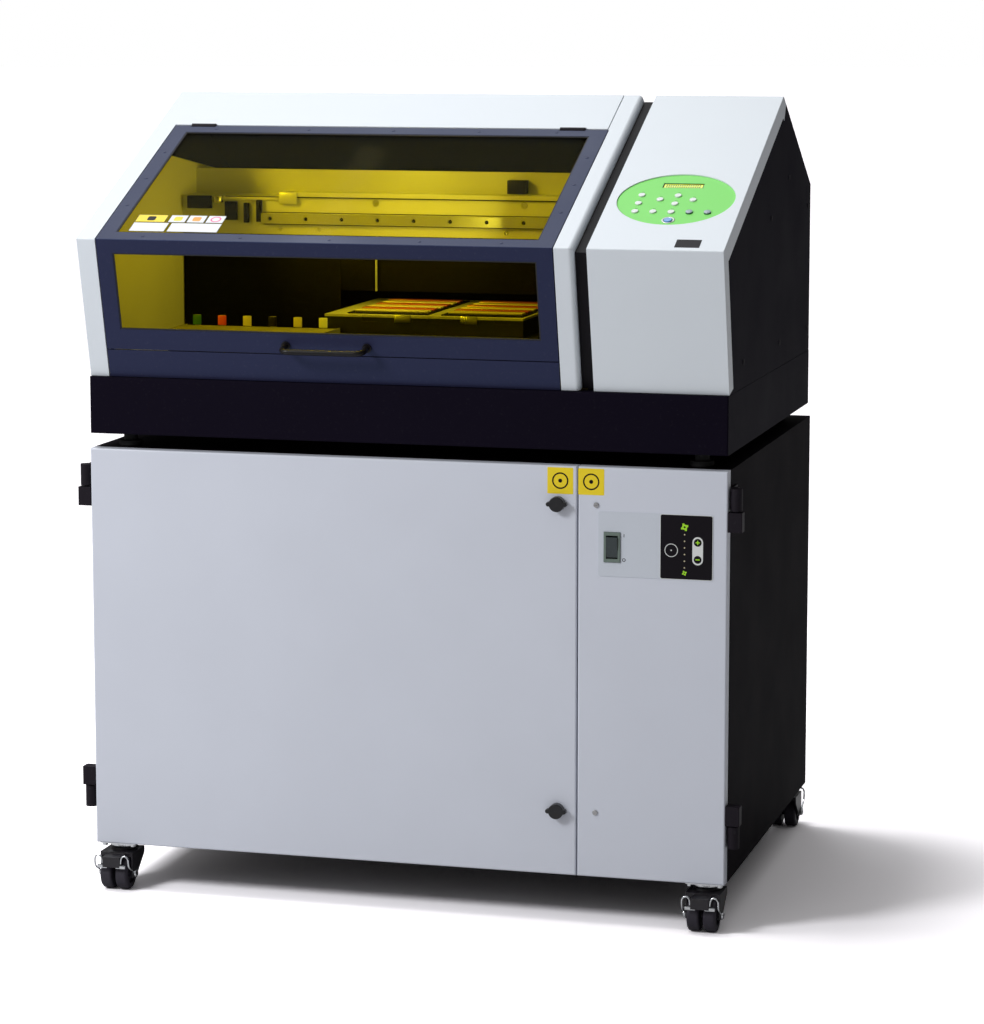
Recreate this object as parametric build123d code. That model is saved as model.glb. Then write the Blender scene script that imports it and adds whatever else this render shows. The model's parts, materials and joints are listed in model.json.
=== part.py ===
"""Bench flatbed UV printer standing on its air-filter cabinet, as separate named pieces.

The printer is a black chassis tray with a white cover, a hinged amber-windowed lid over the work
chamber, and a control housing on the right.  The cabinet below holds the fume filters and a blower
behind two doors, and stands on four braked twin-wheel castors.

Design frame: X to the right seen from the front, Y from the front to the back, Z up, millimetres.
X = 0 is the middle of the machine, Y = 0 the front face of the doors and of the chassis, Z = 0 the floor.
Every piece is moved along Y at export, so that the origin is below the middle of the whole object.
"""

from build123d import *
import math
import os

# ---------------------------------------------------------------- driving dimensions
# Cabinet
cabinet_w = 1000.0
cabinet_d = 690.0
cabinet_h = 622.0
cabinet_sheet = 2.0
cabinet_lip = 26.0  # width of the frame round the door openings
service_door_w = 227.0
door_t = 20.0
door_sheet = 1.5
door_edge_r = 2.5
door_gap = 2.0  # between the two doors, and between doors and body
post_w = 22.0  # middle post behind the gap between the doors

# Castors
castor_h = 73.0
castor_inset_x = 33.0  # swivel axis to the side of the cabinet
castor_inset_y = 36.0  # swivel axis to the front or back of the cabinet
castor_trail = 27.0
wheel_r = 25.0
wheel_w = 19.0
wheel_gap = 6.0
castor_plate = 60.0
castor_plate_t = 2.5
castor_race_r = 22.0
castor_axle_r = 3.0

# Printer chassis and covers
printer_w = 998.0
chassis_d = 675.0
chassis_h = 88.0
chassis_sheet = 3.0
foot_h = 23.0
foot_r = 18.0
foot_inset = 48.0
cover_t = 3.0
cover_return = 30.0  # how deep the covers fold back at their sides
cover_edge_r = 2.0
cover_bend_r = 2.5
seam = 1.5  # gap between neighbouring covers
front_y = 7.0  # foot of the front face, behind the chassis front
front_rise = 215.0
front_lean = 52.0  # the bend overhangs the foot of the front face by this much
slope_deg = 24.13
slope_len = 510.0
back_bend_h = 272.0  # bend of the back cover above the chassis
ridge_fold = 25.0  # white fold behind the ridge
control_w = 203.5  # width of the control housing on the right
unit_gap = 21.0  # dark slot between the two housings
cheek_left_w = 30.0
cheek_right_w = 30.0
cheek_r = 7.0
spine_depth = 12.0  # how far the slot's floor lies below the covers

# Lid
lid_t = 2.5
lid_return = 16.0
lid_front_len = 176.0
lid_slope_len = 386.0
window_margin = 25.0
window_low_end = 144.0  # lower edge of the front window, from the bend
window_t = 3.0
window_lap = 11.0
lid_open_deg = 70.0
lid_hinge_w = 40.0
lid_hinge_inset = 27.0
hinge_notch = 5.5
knuckle_r = 4.0
lid_pin_r = 1.5
lid_pin_depth = 1.5  # pin axis below the lid's outer face
handle_w = 137.0
handle_reach = 28.0
handle_rod_r = 4.5
handle_bend_r = 12.0
handle_from_seam = 13.0

# Control panel on the slope of the control housing
panel_a = 88.8
panel_b = 80.8
panel_up = 159.0  # middle of the panel, up the slope from the bend
panel_sink = 1.5
panel_t = 2.5
panel_rim = 7.0
key_pitch = 27.3
key_row_pitch = 26.0
cursor_pitch = 25.0
key_r = 5.2
power_key_r = 6.2
key_clear = 0.4
key_travel = 1.2
key_stand = 2.0
display_w = 62.0
display_h = 15.0
board_t = 1.6

# Motion system
frame_t = 3.0
frame_inset = 29.0  # side frames from the printer's sides
beam_front = 330.0
beam_d = 70.0
beam_h = 61.0
beam_wall = 4.0
beam_over_chassis = 199.0
beam_upstand = 40.0
rail_w = 16.0
rail_t = 12.0
rail_end_gap = 140.0
rail_pitch = 60.0
rail_hole_r = 3.4
carriage_w = 160.0
carriage_d = 122.0
carriage_h = 140.0
carriage_travel = 620.0
head_gap = 12.0  # print heads above the table
slide_clear = 0.4

# Work table
table_w = 316.0
table_d = 280.0
table_h = 29.0
table_front = 120.0
table_over_chassis = 94.0
table_sheet = 3.0
skirt_out = 20.0
skirt_t = 5.0
skirt_in = 30.0
table_plate_t = 10.0
table_travel = 250.0
table_drop = 65.0
table_raise = 6.0
y_rail_x = 120.0
y_rail_w = 15.0
y_rail_t = 12.0
saddle_d = 160.0
saddle_t = 10.0
tower_w = 14.0
tower_d = 50.0
tower_top_below = 50.0  # tower top below the table's top face

# Ink bay
ink_pitch = 41.0
ink_count = 6
ink_left = 142.0  # first cartridge's middle from the printer's left side
ink_front = 25.0
ink_d = 83.0
ink_h = 74.0
ink_w = 34.0
ink_sheet = 2.0
ink_tab = 16.0

# Doors' fittings
hinge_out = 21.0  # how far a hinge stands out from the cabinet's side
hinge_pin_r = 4.0
hinge_barrel_r = 9.0
hinge_body_half = 33.0
hinge_door_half = 29.0
hinge_break = 2.0
hinge_end = 60.0  # middle of a hinge from the cabinet's top or bottom edge
pin_clear = 0.05
latch_end_top = 57.0
latch_end_low = 99.0
latch_side = 30.0
knob_r = 11.5
knob_h = 12.0
wing_span = 32.0
cam_t = 3.0
cam_len = 26.0
shaft_r = 4.0

# Switch and overlay on the service door
overlay_w = 173.0
overlay_h = 97.0
overlay_t = 0.8
overlay_top = 66.0
overlay_right = 22.0
switch_w = 25.0
switch_h = 45.0
switch_depth = 26.0
switch_in = 21.0  # switch middle from the overlay's left edge
switch_down = 53.0  # switch middle from the overlay's top edge
rocker_w = 17.0
rocker_h = 31.0
rocker_deg = 8.0  # tilt to each side
bezel_t = 3.0

# Filters and blower
filter_w = 550.0
filter_d = 540.0
filter_h = 333.0
prefilter_h = 160.0
filter_grip_w = 120.0
filter_grip_out = 16.0
filter_grip_t = 5.0
filter_grip_bar = 10.0
filter_gap = 10.0
blower_r = 130.0
blower_w = 110.0
blower_wall = 2.5
impeller_r = 105.0
impeller_w = 70.0
impeller_blades = 24
blower_up = 250.0
blower_inlet_r = 75.0

# Hose collars
collar_r = 37.5
collar_wall = 2.0
collar_len = 45.0
collar_flange_r = 52.0
collar_x = -300.0
collar_up_printer = 120.0
collar_down_cabinet = 110.0

# ---------------------------------------------------------------- derived places
half_cab = cabinet_w / 2
half_prn = printer_w / 2
cab_z0 = castor_h
cab_z1 = castor_h + cabinet_h
body_y0 = door_t + door_gap
split_x = half_cab - service_door_w

deck_z0 = cab_z1 + foot_h
deck_z1 = deck_z0 + chassis_h
slope_sin = math.sin(math.radians(slope_deg))
slope_cos = math.cos(math.radians(slope_deg))
foot_pt = (front_y, deck_z1 + 0.5)
bend_pt = (front_y - front_lean, deck_z1 + front_rise)
ridge_pt = (bend_pt[0] + slope_len * slope_cos, bend_pt[1] + slope_len * slope_sin)
back_bend_pt = (chassis_d, deck_z1 + back_bend_h)
back_foot_pt = (chassis_d, deck_z1 + 0.5)

control_x0 = half_prn - control_w
control_x1 = half_prn
main_x1 = control_x0 - unit_gap
lid_x0 = -half_prn + cheek_left_w + seam
lid_x1 = main_x1 - cheek_right_w
panel_x = (control_x0 + control_x1) / 2

table_z1 = deck_z1 + table_over_chassis
table_z0 = table_z1 - table_h
chassis_floor = deck_z0 + chassis_sheet
beam_z0 = deck_z1 + beam_over_chassis
beam_z1 = beam_z0 + beam_h
rail_z = beam_z0 + 0.42 * beam_h
frame_x = half_prn - frame_inset


# ---------------------------------------------------------------- helpers
def box(x0, x1, y0, y1, z0, z1):
    """A block between two corners."""
    return Pos((x0 + x1) / 2, (y0 + y1) / 2, (z0 + z1) / 2) * Box(x1 - x0, y1 - y0, z1 - z0)


def prism_x(points, x0, x1):
    """A (Y, Z) outline extruded along X."""
    face = make_face(Polyline(*points, close=True))
    return extrude(Plane.YZ.offset(x0) * face, x1 - x0)


def rod(start, direction, radius, length):
    """A round bar from a point along a direction."""
    return extrude(Plane(origin=start, z_dir=direction) * Circle(radius), length)


def along(start, end, distance):
    """The point at a distance from start towards end, in (Y, Z)."""
    dy, dz = end[0] - start[0], end[1] - start[1]
    size = math.hypot(dy, dz)
    return (start[0] + dy / size * distance, start[1] + dz / size * distance)


def on_front(distance):
    """A point on the front face, down from the bend."""
    return along(bend_pt, foot_pt, distance)


def on_slope(distance):
    """A point on the slope, up from the bend."""
    return along(bend_pt, ridge_pt, distance)


def offset_path(points, depth):
    """An open (Y, Z) path moved by depth to its right, with mitred corners."""
    normals = []
    for a, b in zip(points, points[1:]):
        size = math.hypot(b[0] - a[0], b[1] - a[1])
        normals.append(((b[1] - a[1]) / size, -(b[0] - a[0]) / size))
    moved = []
    for i, (y, z) in enumerate(points):
        before = normals[max(i - 1, 0)]
        after = normals[min(i, len(normals) - 1)]
        scale = depth / (1 + before[0] * after[0] + before[1] * after[1])
        moved.append((y + (before[0] + after[0]) * scale, z + (before[1] + after[1]) * scale))
    return moved


def strip(points, depth0, depth1, x0, x1):
    """The band between two depths below a path, extruded along X."""
    outline = offset_path(points, depth0) + offset_path(points, depth1)[::-1]
    return prism_x(outline, x0, x1)


def edges_along_x(shape, point):
    """The shape's edges along X through a (Y, Z) point."""
    return [
        e
        for e in shape.edges().filter_by(Axis.X)
        if math.hypot(e.center().Y - point[0], e.center().Z - point[1]) < 0.05
    ]


def front_edges(shape, y, x_limits, z_limits):
    """The four edges of a door's or plate's front face, at its outline."""
    found = []
    for e in shape.edges():
        c = e.center()
        at_side = any(abs(c.X - x) < 0.01 for x in x_limits)
        at_end = any(abs(c.Z - z) < 0.01 for z in z_limits)
        if abs(c.Y - y) < 0.01 and (at_side or at_end):
            found.append(e)
    return found


def group(*shapes):
    """Several separate solids as one node."""
    solids = []
    for s in shapes:
        solids += s.solids()
    return Compound(children=solids)


slope_plane = Plane(
    origin=(0, bend_pt[0], bend_pt[1]), x_dir=(1, 0, 0), z_dir=(0, -slope_sin, slope_cos)
)
front_dir = along((0, 0), (foot_pt[0] - bend_pt[0], foot_pt[1] - bend_pt[1]), 1.0)
front_plane = Plane(
    origin=(0, bend_pt[0], bend_pt[1]), x_dir=(1, 0, 0), z_dir=(0, front_dir[1], -front_dir[0])
)


# ---------------------------------------------------------------- cabinet
def cabinet_body():
    s = cabinet_sheet
    y0, y1 = body_y0, cabinet_d
    sides = [
        box(-half_cab, -half_cab + s, y0, y1, cab_z0, cab_z1),
        box(half_cab - s, half_cab, y0, y1, cab_z0, cab_z1),
    ]
    top = box(-half_cab + s, half_cab - s, y0, y1, cab_z1 - s, cab_z1)
    bottom = box(-half_cab + s, half_cab - s, y0, y1, cab_z0, cab_z0 + s)
    # back panel in four plates round the hose hole
    hole_z = cab_z1 - collar_down_cabinet
    x0, x1, z0, z1 = -half_cab + s, half_cab - s, cab_z0 + s, cab_z1 - s
    h = collar_flange_r - 4
    back = [
        box(x0, collar_x - h, y1 - s, y1, z0, z1),
        box(collar_x + h, x1, y1 - s, y1, z0, z1),
        box(collar_x - h, collar_x + h, y1 - s, y1, z0, hole_z - h),
        box(collar_x - h, collar_x + h, y1 - s, y1, hole_z + h, z1),
    ]
    lips = [
        box(x0, x0 + cabinet_lip, y0, y0 + s, z0, z1),
        box(x1 - cabinet_lip, x1, y0, y0 + s, z0, z1),
        box(x0 + cabinet_lip, x1 - cabinet_lip, y0, y0 + s, z1 - cabinet_lip, z1),
        box(x0 + cabinet_lip, x1 - cabinet_lip, y0, y0 + s, z0, z0 + cabinet_lip),
        box(
            split_x - post_w / 2,
            split_x + post_w / 2,
            y0,
            y0 + s,
            z0 + cabinet_lip,
            z1 - cabinet_lip,
        ),
    ]
    return group(*sides, top, bottom, *back, *lips)


def cabinet_bulkhead():
    s = cabinet_sheet
    wall = box(
        split_x - s / 2,
        split_x + s / 2,
        body_y0 + s + cam_t + 8,
        cabinet_d - s,
        cab_z0 + s,
        cab_z1 - s,
    )
    inlet = rod((split_x - s, blower_y, blower_z), (1, 0, 0), blower_inlet_r, 2 * s)
    return wall - inlet


filter_x1 = split_x - 122
filter_x0 = filter_x1 - filter_w
filter_y0 = body_y0 + 38
filter_z0 = cab_z0 + cabinet_sheet


def filter_box(z0, height):
    """A block of filter media in its case, with a pull grip on the front."""
    case = box(filter_x0, filter_x1, filter_y0, filter_y0 + filter_d, z0, z0 + height)
    mid_x = (filter_x0 + filter_x1) / 2
    mid_z = z0 + height / 2
    half, t, bar = filter_grip_w / 2, filter_grip_t, filter_grip_bar
    grip = box(mid_x - half, mid_x + half, filter_y0 - filter_grip_out, filter_y0, mid_z - bar, mid_z + bar)
    grip -= box(
        mid_x - half + t,
        mid_x + half - t,
        filter_y0 - filter_grip_out + t,
        filter_y0,
        mid_z - bar - 1,
        mid_z + bar + 1,
    )
    return case + grip


def filter_cartridges():
    upper_z0 = filter_z0 + filter_h + filter_gap
    return group(filter_box(filter_z0, filter_h), filter_box(upper_z0, prefilter_h))


blower_x0 = split_x + 14
blower_y = cabinet_d / 2 + 20
blower_z = cab_z0 + blower_up


def blower_scroll():
    plane = Plane.YZ.offset(blower_x0)
    throat = 90.0

    def outline(radius, duct):
        drum = Pos(blower_y, blower_z) * Circle(radius)
        outlet = Pos(blower_y + radius - duct / 2, blower_z + blower_r * 0.7) * Rectangle(
            duct, blower_r * 1.4
        )
        return drum + outlet

    shell = extrude(plane * outline(blower_r, throat), blower_w)
    w = blower_wall
    hollow = extrude(
        Plane.YZ.offset(blower_x0 + w) * outline(blower_r - w, throat - 2 * w), blower_w - 2 * w
    )
    mouth = box(
        blower_x0 + w,
        blower_x0 + blower_w - w,
        blower_y + blower_r - throat + w,
        blower_y + blower_r - w,
        blower_z + blower_r,
        blower_z + blower_r * 1.5,
    )
    inlet = rod((blower_x0 - 1, blower_y, blower_z), (1, 0, 0), blower_inlet_r, w + 2)
    shaft_hole = rod(
        (blower_x0 + blower_w - w - 1, blower_y, blower_z), (1, 0, 0), 6 + pin_clear, w + 2
    )
    stand = box(
        blower_x0 + 10,
        blower_x0 + blower_w - 10,
        blower_y - blower_r * 0.6,
        blower_y + blower_r * 0.6,
        cab_z0 + cabinet_sheet,
        blower_z - blower_r * 0.86,
    )
    return (shell + stand) - hollow - mouth - inlet - shaft_hole


def blower_impeller():
    x0 = blower_x0 + (blower_w - impeller_w) / 2
    plate = rod((x0 + impeller_w - 3, blower_y, blower_z), (1, 0, 0), impeller_r, 3)
    ring = rod((x0, blower_y, blower_z), (1, 0, 0), impeller_r, 3)
    ring -= rod((x0 - 1, blower_y, blower_z), (1, 0, 0), impeller_r - 24, 5)
    shaft = rod((x0 + impeller_w - 20, blower_y, blower_z), (1, 0, 0), 6, 20 + 22)
    blade = box(x0 + 2, x0 + impeller_w - 2, -1, 1, impeller_r - 23, impeller_r - 2)
    blades = [
        Pos(0, blower_y, blower_z) * Rot(360 * i / impeller_blades, 0, 0) * blade
        for i in range(impeller_blades)
    ]
    wheel = plate + ring + shaft
    for b in blades:
        wheel += b
    return wheel


def door(x0, x1):
    """A folded steel door, open at its back."""
    z0, z1 = cab_z0, cab_z1
    pan = box(x0, x1, 0, door_t, z0, z1)
    pan = fillet(front_edges(pan, 0, (x0, x1), (z0, z1)), door_edge_r)
    w = door_sheet
    return pan - box(x0 + w, x1 - w, w, door_t + 1, z0 + w, z1 - w)


latch_z = (cab_z1 - latch_end_top, cab_z0 + latch_end_low)
filter_latch_x = split_x - latch_side
service_lock_x = split_x + latch_side - 1.5


def latch_hole(x, z, radius):
    return rod((x, -1, z), (0, 1, 0), radius, door_t)


def filter_door():
    shape = door(-half_cab + 0.5, split_x - door_gap / 2)
    for z in latch_z:
        shape -= latch_hole(filter_latch_x, z, shaft_r + pin_clear)
    return shape


def service_door():
    shape = door(split_x + door_gap / 2, half_cab - 0.5)
    for z in latch_z:
        shape -= latch_hole(service_lock_x, z, shaft_r)
    hole_w, hole_h = switch_w - 4, switch_h - 4
    return shape - box(
        switch_x - hole_w / 2,
        switch_x + hole_w / 2,
        -1,
        door_sheet + 1,
        switch_z - hole_h / 2,
        switch_z + hole_h / 2,
    )


def filter_latch(z):
    """Wing knob, shaft and cam; the cam hangs down when it is open."""
    x = filter_latch_x
    knob = rod((x, -knob_h, z), (0, 1, 0), knob_r, knob_h - 0.3)
    wing = box(x - wing_span / 2, x + wing_span / 2, -knob_h, -4, z - 3.5, z + 3.5)
    wing = fillet(wing.edges().filter_by(Axis.Y), 3.2)
    knob = knob + wing
    knob = fillet(knob.edges().group_by(Axis.Y)[0], 1.2)
    shaft = rod((x, -0.3, z), (0, 1, 0), shaft_r, body_y0 + cabinet_sheet + 2 + cam_t + 0.3)
    cam_y = body_y0 + cabinet_sheet + 2
    cam = box(x - 7, x + 7, cam_y, cam_y + cam_t, z - cam_len, z + 8)
    return knob + shaft + cam


def service_door_screws():
    """Captive screws that close the service door."""
    screws = []
    for z in latch_z:
        head = rod((service_lock_x, -2, z), (0, 1, 0), shaft_r, door_t + 4)
        head = fillet(head.edges().group_by(Axis.Y)[0], 0.6)
        slot = box(service_lock_x - shaft_r, service_lock_x + shaft_r, -3, -1, z - 0.6, z + 0.6)
        screws.append(head - slot)
    return group(*screws)


# Hinges of the two doors: a body half with its pin, and a door half that turns on it.
def hinge_places():
    """For each door hinge: middle height, and whether the body half is the upper one."""
    return [(cab_z1 - hinge_end, True), (cab_z0 + hinge_end + 30, False)]


def hinge_axis_x(side):
    return side * (half_cab + hinge_out / 2)


def door_hinge_halves(side, z, body_on_top):
    """(body half with pin, door half) of one hinge."""
    axis_x, axis_y = hinge_axis_x(side), door_t / 2
    body_z0 = z + hinge_break / 2 if body_on_top else z - hinge_break / 2 - hinge_body_half
    door_z0 = z - hinge_break / 2 - hinge_door_half if body_on_top else z + hinge_break / 2
    wall = side * half_cab
    outer = side * (half_cab + hinge_out)
    barrel = rod((axis_x, axis_y, body_z0), (0, 0, 1), hinge_barrel_r, hinge_body_half)
    leaf = box(*sorted((wall, wall + side * 3)), body_y0, body_y0 + 34, body_z0, body_z0 + hinge_body_half)
    web = box(
        *sorted((wall + side * 0.6, axis_x)),
        axis_y + 3,
        body_y0 + 8,
        body_z0,
        body_z0 + hinge_body_half,
    )
    pin_z0 = min(body_z0, door_z0) + 3
    pin_len = hinge_body_half + hinge_door_half + hinge_break - 6
    body_half = barrel + leaf + web + rod((axis_x, axis_y, pin_z0), (0, 0, 1), hinge_pin_r, pin_len)
    block = box(
        *sorted((wall - side * 0.5, outer)), 0, door_t, door_z0, door_z0 + hinge_door_half
    )
    block = fillet(block.edges().filter_by(Axis.Z), 1.5)
    bore_z0 = door_z0 + 2.5 if body_on_top else door_z0 - 1
    bore = rod((axis_x, axis_y, bore_z0), (0, 0, 1), hinge_pin_r + pin_clear, hinge_door_half - 1.5)
    return body_half, block - bore


def door_hinges(side):
    return group(*[door_hinge_halves(side, z, top)[1] for z, top in hinge_places()])


def fixed_hinge_leaves():
    halves = [
        door_hinge_halves(side, z, top)[0] for side in (-1, 1) for z, top in hinge_places()
    ]
    halves += [lid_hinge_halves(x)[0] for x in lid_hinge_xs()]
    return group(*halves)


# Overlay and power switch on the service door
overlay_x1 = half_cab - overlay_right
overlay_x0 = overlay_x1 - overlay_w
overlay_z1 = cab_z1 - overlay_top
switch_x = overlay_x0 + switch_in
switch_z = overlay_z1 - switch_down


def airflow_panel():
    plate = box(overlay_x0, overlay_x1, -overlay_t, 0, overlay_z1 - overlay_h, overlay_z1)
    plate = fillet(plate.edges().filter_by(Axis.Y), 3)
    gap = 0.5
    return plate - box(
        switch_x - switch_w / 2 - gap,
        switch_x + switch_w / 2 + gap,
        -overlay_t - 1,
        1,
        switch_z - switch_h / 2 - gap,
        switch_z + switch_h / 2 + gap,
    )


def switch_block(w, h, y0, y1):
    return box(switch_x - w / 2, switch_x + w / 2, y0, y1, switch_z - h / 2, switch_z + h / 2)


def power_switch_frame():
    bezel = switch_block(switch_w, switch_h, -bezel_t, 0)
    bezel = fillet(bezel.edges().group_by(Axis.Y)[0], 0.8)
    can = switch_block(switch_w - 4 - 2 * 0.2, switch_h - 4 - 2 * 0.2, 0, switch_depth)
    well = switch_block(rocker_w + 1, rocker_h + 4, -bezel_t - 1, switch_depth - 2)
    return bezel + can - well


rocker_y = 4.0  # pivot behind the door's face


def power_rocker():
    """Two-faced rocker, its lower half pressed in."""
    half = rocker_h / 2
    tilt = math.radians(rocker_deg)
    outline = [
        (rocker_y - 8.5, switch_z),
        (rocker_y - 7.5 - half * math.sin(tilt), switch_z + half * math.cos(tilt)),
        (rocker_y + 1.5 - half * math.sin(tilt), switch_z + half * math.cos(tilt)),
        (rocker_y + 4.5, switch_z + 4),
        (rocker_y + 4.5, switch_z - 4),
        (rocker_y + 1.5 + half * math.sin(tilt), switch_z - half * math.cos(tilt)),
        (rocker_y - 7.5 + half * math.sin(tilt), switch_z - half * math.cos(tilt)),
    ]
    return prism_x(outline, switch_x - rocker_w / 2, switch_x + rocker_w / 2)


# ---------------------------------------------------------------- castors
castor_spots = {
    "front_left": (-half_cab + castor_inset_x, castor_inset_y, -1),
    "front_right": (half_cab - castor_inset_x, castor_inset_y, -1),
    "rear_left": (-half_cab + castor_inset_x, cabinet_d - castor_inset_y, 1),
    "rear_right": (half_cab - castor_inset_x, cabinet_d - castor_inset_y, 1),
}
race_z0 = castor_h - castor_plate_t - 8.5
fork_z1 = race_z0 - 0.3
fork_half = wheel_gap / 2 + wheel_w + 2.2  # inside face of a fork cheek
fork_t = 2.5


def castor_mounts():
    solids = []
    for x, y, _ in castor_spots.values():
        half = castor_plate / 2
        plate = box(x - half, x + half, y - half, y + half, castor_h - castor_plate_t, castor_h)
        plate = fillet(plate.edges().filter_by(Axis.Z), 5)
        race = rod((x, y, race_z0), (0, 0, 1), castor_race_r, castor_h - castor_plate_t - race_z0)
        race = chamfer(race.edges().group_by(Axis.Z)[0], 3)
        body = plate + race
        for dx in (-1, 1):
            for dy in (-1, 1):
                spot = (x + dx * (half - 7), y + dy * (half - 7), castor_h - castor_plate_t - 4)
                body += extrude(Plane(origin=spot) * RegularPolygon(4.5, 6), 4)
        solids.append(body)
    return group(*solids)


def castor_place(name):
    x, y, trail_dir = castor_spots[name]
    return Pos(x, y, 0) * Rot(0, 0, 0 if trail_dir < 0 else 180)


def castor_fork(name):
    """Swivelling hood with its axle and brake housing; it trails towards -Y before it is placed."""
    t = fork_t
    top = extrude(Plane.XY.offset(fork_z1 - 3) * Circle(castor_race_r - 1), 3)
    roof_z0 = wheel_r * 2 + 2.5
    roof = box(-fork_half - t, fork_half + t, -castor_trail - 8, 17, roof_z0, fork_z1 - 3)
    cheek = [
        (-castor_trail - 8, fork_z1 - 3),
        (17, fork_z1 - 3),
        (17, roof_z0 - 4),
        (-castor_trail + 9, wheel_r - 6),
        (-castor_trail - 8, wheel_r - 6),
    ]
    body = top + roof
    for side in (-1, 1):
        x0, x1 = sorted((side * fork_half, side * (fork_half + t)))
        body += prism_x(cheek, x0, x1)
    nose_y1 = -castor_trail - wheel_r - 1.5
    nose = box(-14, 14, nose_y1 - 6, nose_y1, wheel_r * 1.6, roof_z0 + 4)
    neck = box(-14, 14, nose_y1 - 6, -castor_trail - 8, roof_z0, roof_z0 + 4)
    axle = rod((-fork_half - t - 4, -castor_trail, wheel_r), (1, 0, 0), castor_axle_r, 2 * (fork_half + t + 4))
    body = body + nose + neck + axle
    for side in (-1, 1):
        x0 = side * (fork_half + t) if side > 0 else -(fork_half + t) - 3
        nut = extrude(
            Plane(origin=(x0, -castor_trail, wheel_r), z_dir=(1, 0, 0)) * RegularPolygon(5.5, 6), 3
        )
        body += nut
    return castor_place(name) * body


def castor_wheels(name):
    wheels = []
    for side in (-1, 1):
        x0 = wheel_gap / 2 if side > 0 else -wheel_gap / 2 - wheel_w
        wheel = rod((x0, -castor_trail, wheel_r), (1, 0, 0), wheel_r, wheel_w)
        wheel = fillet(wheel.edges(), 4)
        recess_x = x0 + wheel_w - 4 if side > 0 else x0
        recess = rod((recess_x, -castor_trail, wheel_r), (1, 0, 0), wheel_r * 0.62, 4)
        hub = rod((recess_x, -castor_trail, wheel_r), (1, 0, 0), 7, 4)
        bore = rod((x0 - 1, -castor_trail, wheel_r), (1, 0, 0), castor_axle_r + pin_clear, wheel_w + 2)
        wheels.append(wheel - recess + hub - bore)
    spacer = rod((-wheel_gap / 2, -castor_trail, wheel_r), (1, 0, 0), 7, wheel_gap)
    spacer -= rod((-wheel_gap, -castor_trail, wheel_r), (1, 0, 0), castor_axle_r + pin_clear, 2 * wheel_gap)
    return castor_place(name) * group(*wheels, spacer)


# ---------------------------------------------------------------- printer chassis
deck_open_x = table_w / 2 + skirt_out + 37  # half width of the well for the table
deck_front_y = table_front - 12  # front edge of that well


def base_chassis():
    s = chassis_sheet
    h = half_prn
    front = box(-h, h, 0, s, deck_z0, deck_z1)
    front = fillet(front_edges(front, 0, (-h, h), (deck_z0,)), s * 0.9)
    sides = [box(-h, -h + s, s, chassis_d, deck_z0, deck_z1), box(h - s, h, s, chassis_d, deck_z0, deck_z1)]
    floor = box(-h + s, h - s, s, chassis_d - s, deck_z0, deck_z0 + s)
    back = box(-h + s, h - s, chassis_d - s, chassis_d, deck_z0, deck_z1)
    decks = [
        box(-h + s, -deck_open_x, s, chassis_d - s, deck_z1 - s, deck_z1),
        box(deck_open_x, h - s, s, chassis_d - s, deck_z1 - s, deck_z1),
        box(-deck_open_x, deck_open_x, s, deck_front_y, deck_z1 - s, deck_z1),
    ]
    return group(front, *sides, floor, back, *decks)


def machine_feet():
    feet = []
    for x in (-half_prn + foot_inset, half_prn - foot_inset):
        for y in (foot_inset, chassis_d - foot_inset):
            pad = rod((x, y, cab_z1), (0, 0, 1), foot_r, 9)
            pad = chamfer(pad.edges().group_by(Axis.Z)[0], 2)
            stem = rod((x, y, cab_z1 + 9), (0, 0, 1), foot_r * 0.6, foot_h - 9)
            feet.append(pad + stem)
    return group(*feet)


passage_y0 = beam_front - rail_t - carriage_d - 12
passage_y1 = beam_front + beam_d + 8
passage_z0 = table_z1 + head_gap - 8
passage_z1 = beam_z1 + beam_upstand + 8


def side_frames():
    """Left and right frame plates, and the divider with the carriage's passage in it."""
    path = [foot_pt, bend_pt, ridge_pt]
    inner = offset_path(path, cover_return + 4)
    back_y = chassis_d - 20
    end_z = ridge_pt[1] - 60
    low = deck_z1
    outline = [
        (inner[0][0], low),
        inner[1],
        along(inner[1], inner[2], slope_len * 0.62),
        (back_y - 120, end_z - 75),
        (back_y, end_z - 110),
        (back_y, low),
    ]
    left = prism_x(outline, -frame_x, -frame_x + frame_t)
    right = prism_x(outline, frame_x - frame_t, frame_x)
    mid_x = (main_x1 + control_x0) / 2
    # divider: a recessed spine that shows in the slot, and the plates round the passage
    half_slot = unit_gap / 2 - 1
    spine = strip(path, spine_depth, spine_depth + frame_t, mid_x - half_slot, mid_x + half_slot)
    web = offset_path(path, spine_depth + frame_t)
    web_outline = [(web[0][0], low), web[1], web[2], (back_y - 60, end_z - 95), (back_y - 60, low)]
    divider = prism_x(web_outline, mid_x - frame_t / 2, mid_x + frame_t / 2)
    divider -= box(
        mid_x - frame_t, mid_x + frame_t, passage_y0, passage_y1, passage_z0, passage_z1
    )
    return group(left, right, spine + divider)


# ---------------------------------------------------------------- covers
cover_path = [foot_pt, bend_pt, ridge_pt, along(ridge_pt, back_bend_pt, ridge_fold)]


def round_bends(shape):
    """Rounds the outer bend and ridge of a cover."""
    for point in (bend_pt, ridge_pt):
        edges = edges_along_x(shape, point)
        shape = fillet(edges, cover_bend_r)
    return shape


def main_cover():
    """Left cheek and top panel in one piece, folded back at the left side."""
    x0 = -half_prn
    cheek = strip(cover_path, 0, cover_t, x0, lid_x0 - seam)
    side = strip(cover_path, 0, cover_return, x0, x0 + cover_t)
    lid_return_wall = strip(
        [foot_pt, bend_pt, on_slope(lid_slope_len)], 0, lid_return, lid_x0 - seam - cover_t, lid_x0 - seam
    )
    top_path = [on_slope(lid_slope_len + 2 * seam), ridge_pt, cover_path[3]]
    top = strip(top_path, 0, cover_t, x0, lid_x1 - seam)
    shape = round_bends(cheek + top + side + lid_return_wall)
    for x in lid_hinge_xs():
        shape -= lid_notch(x)
    return shape


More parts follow.
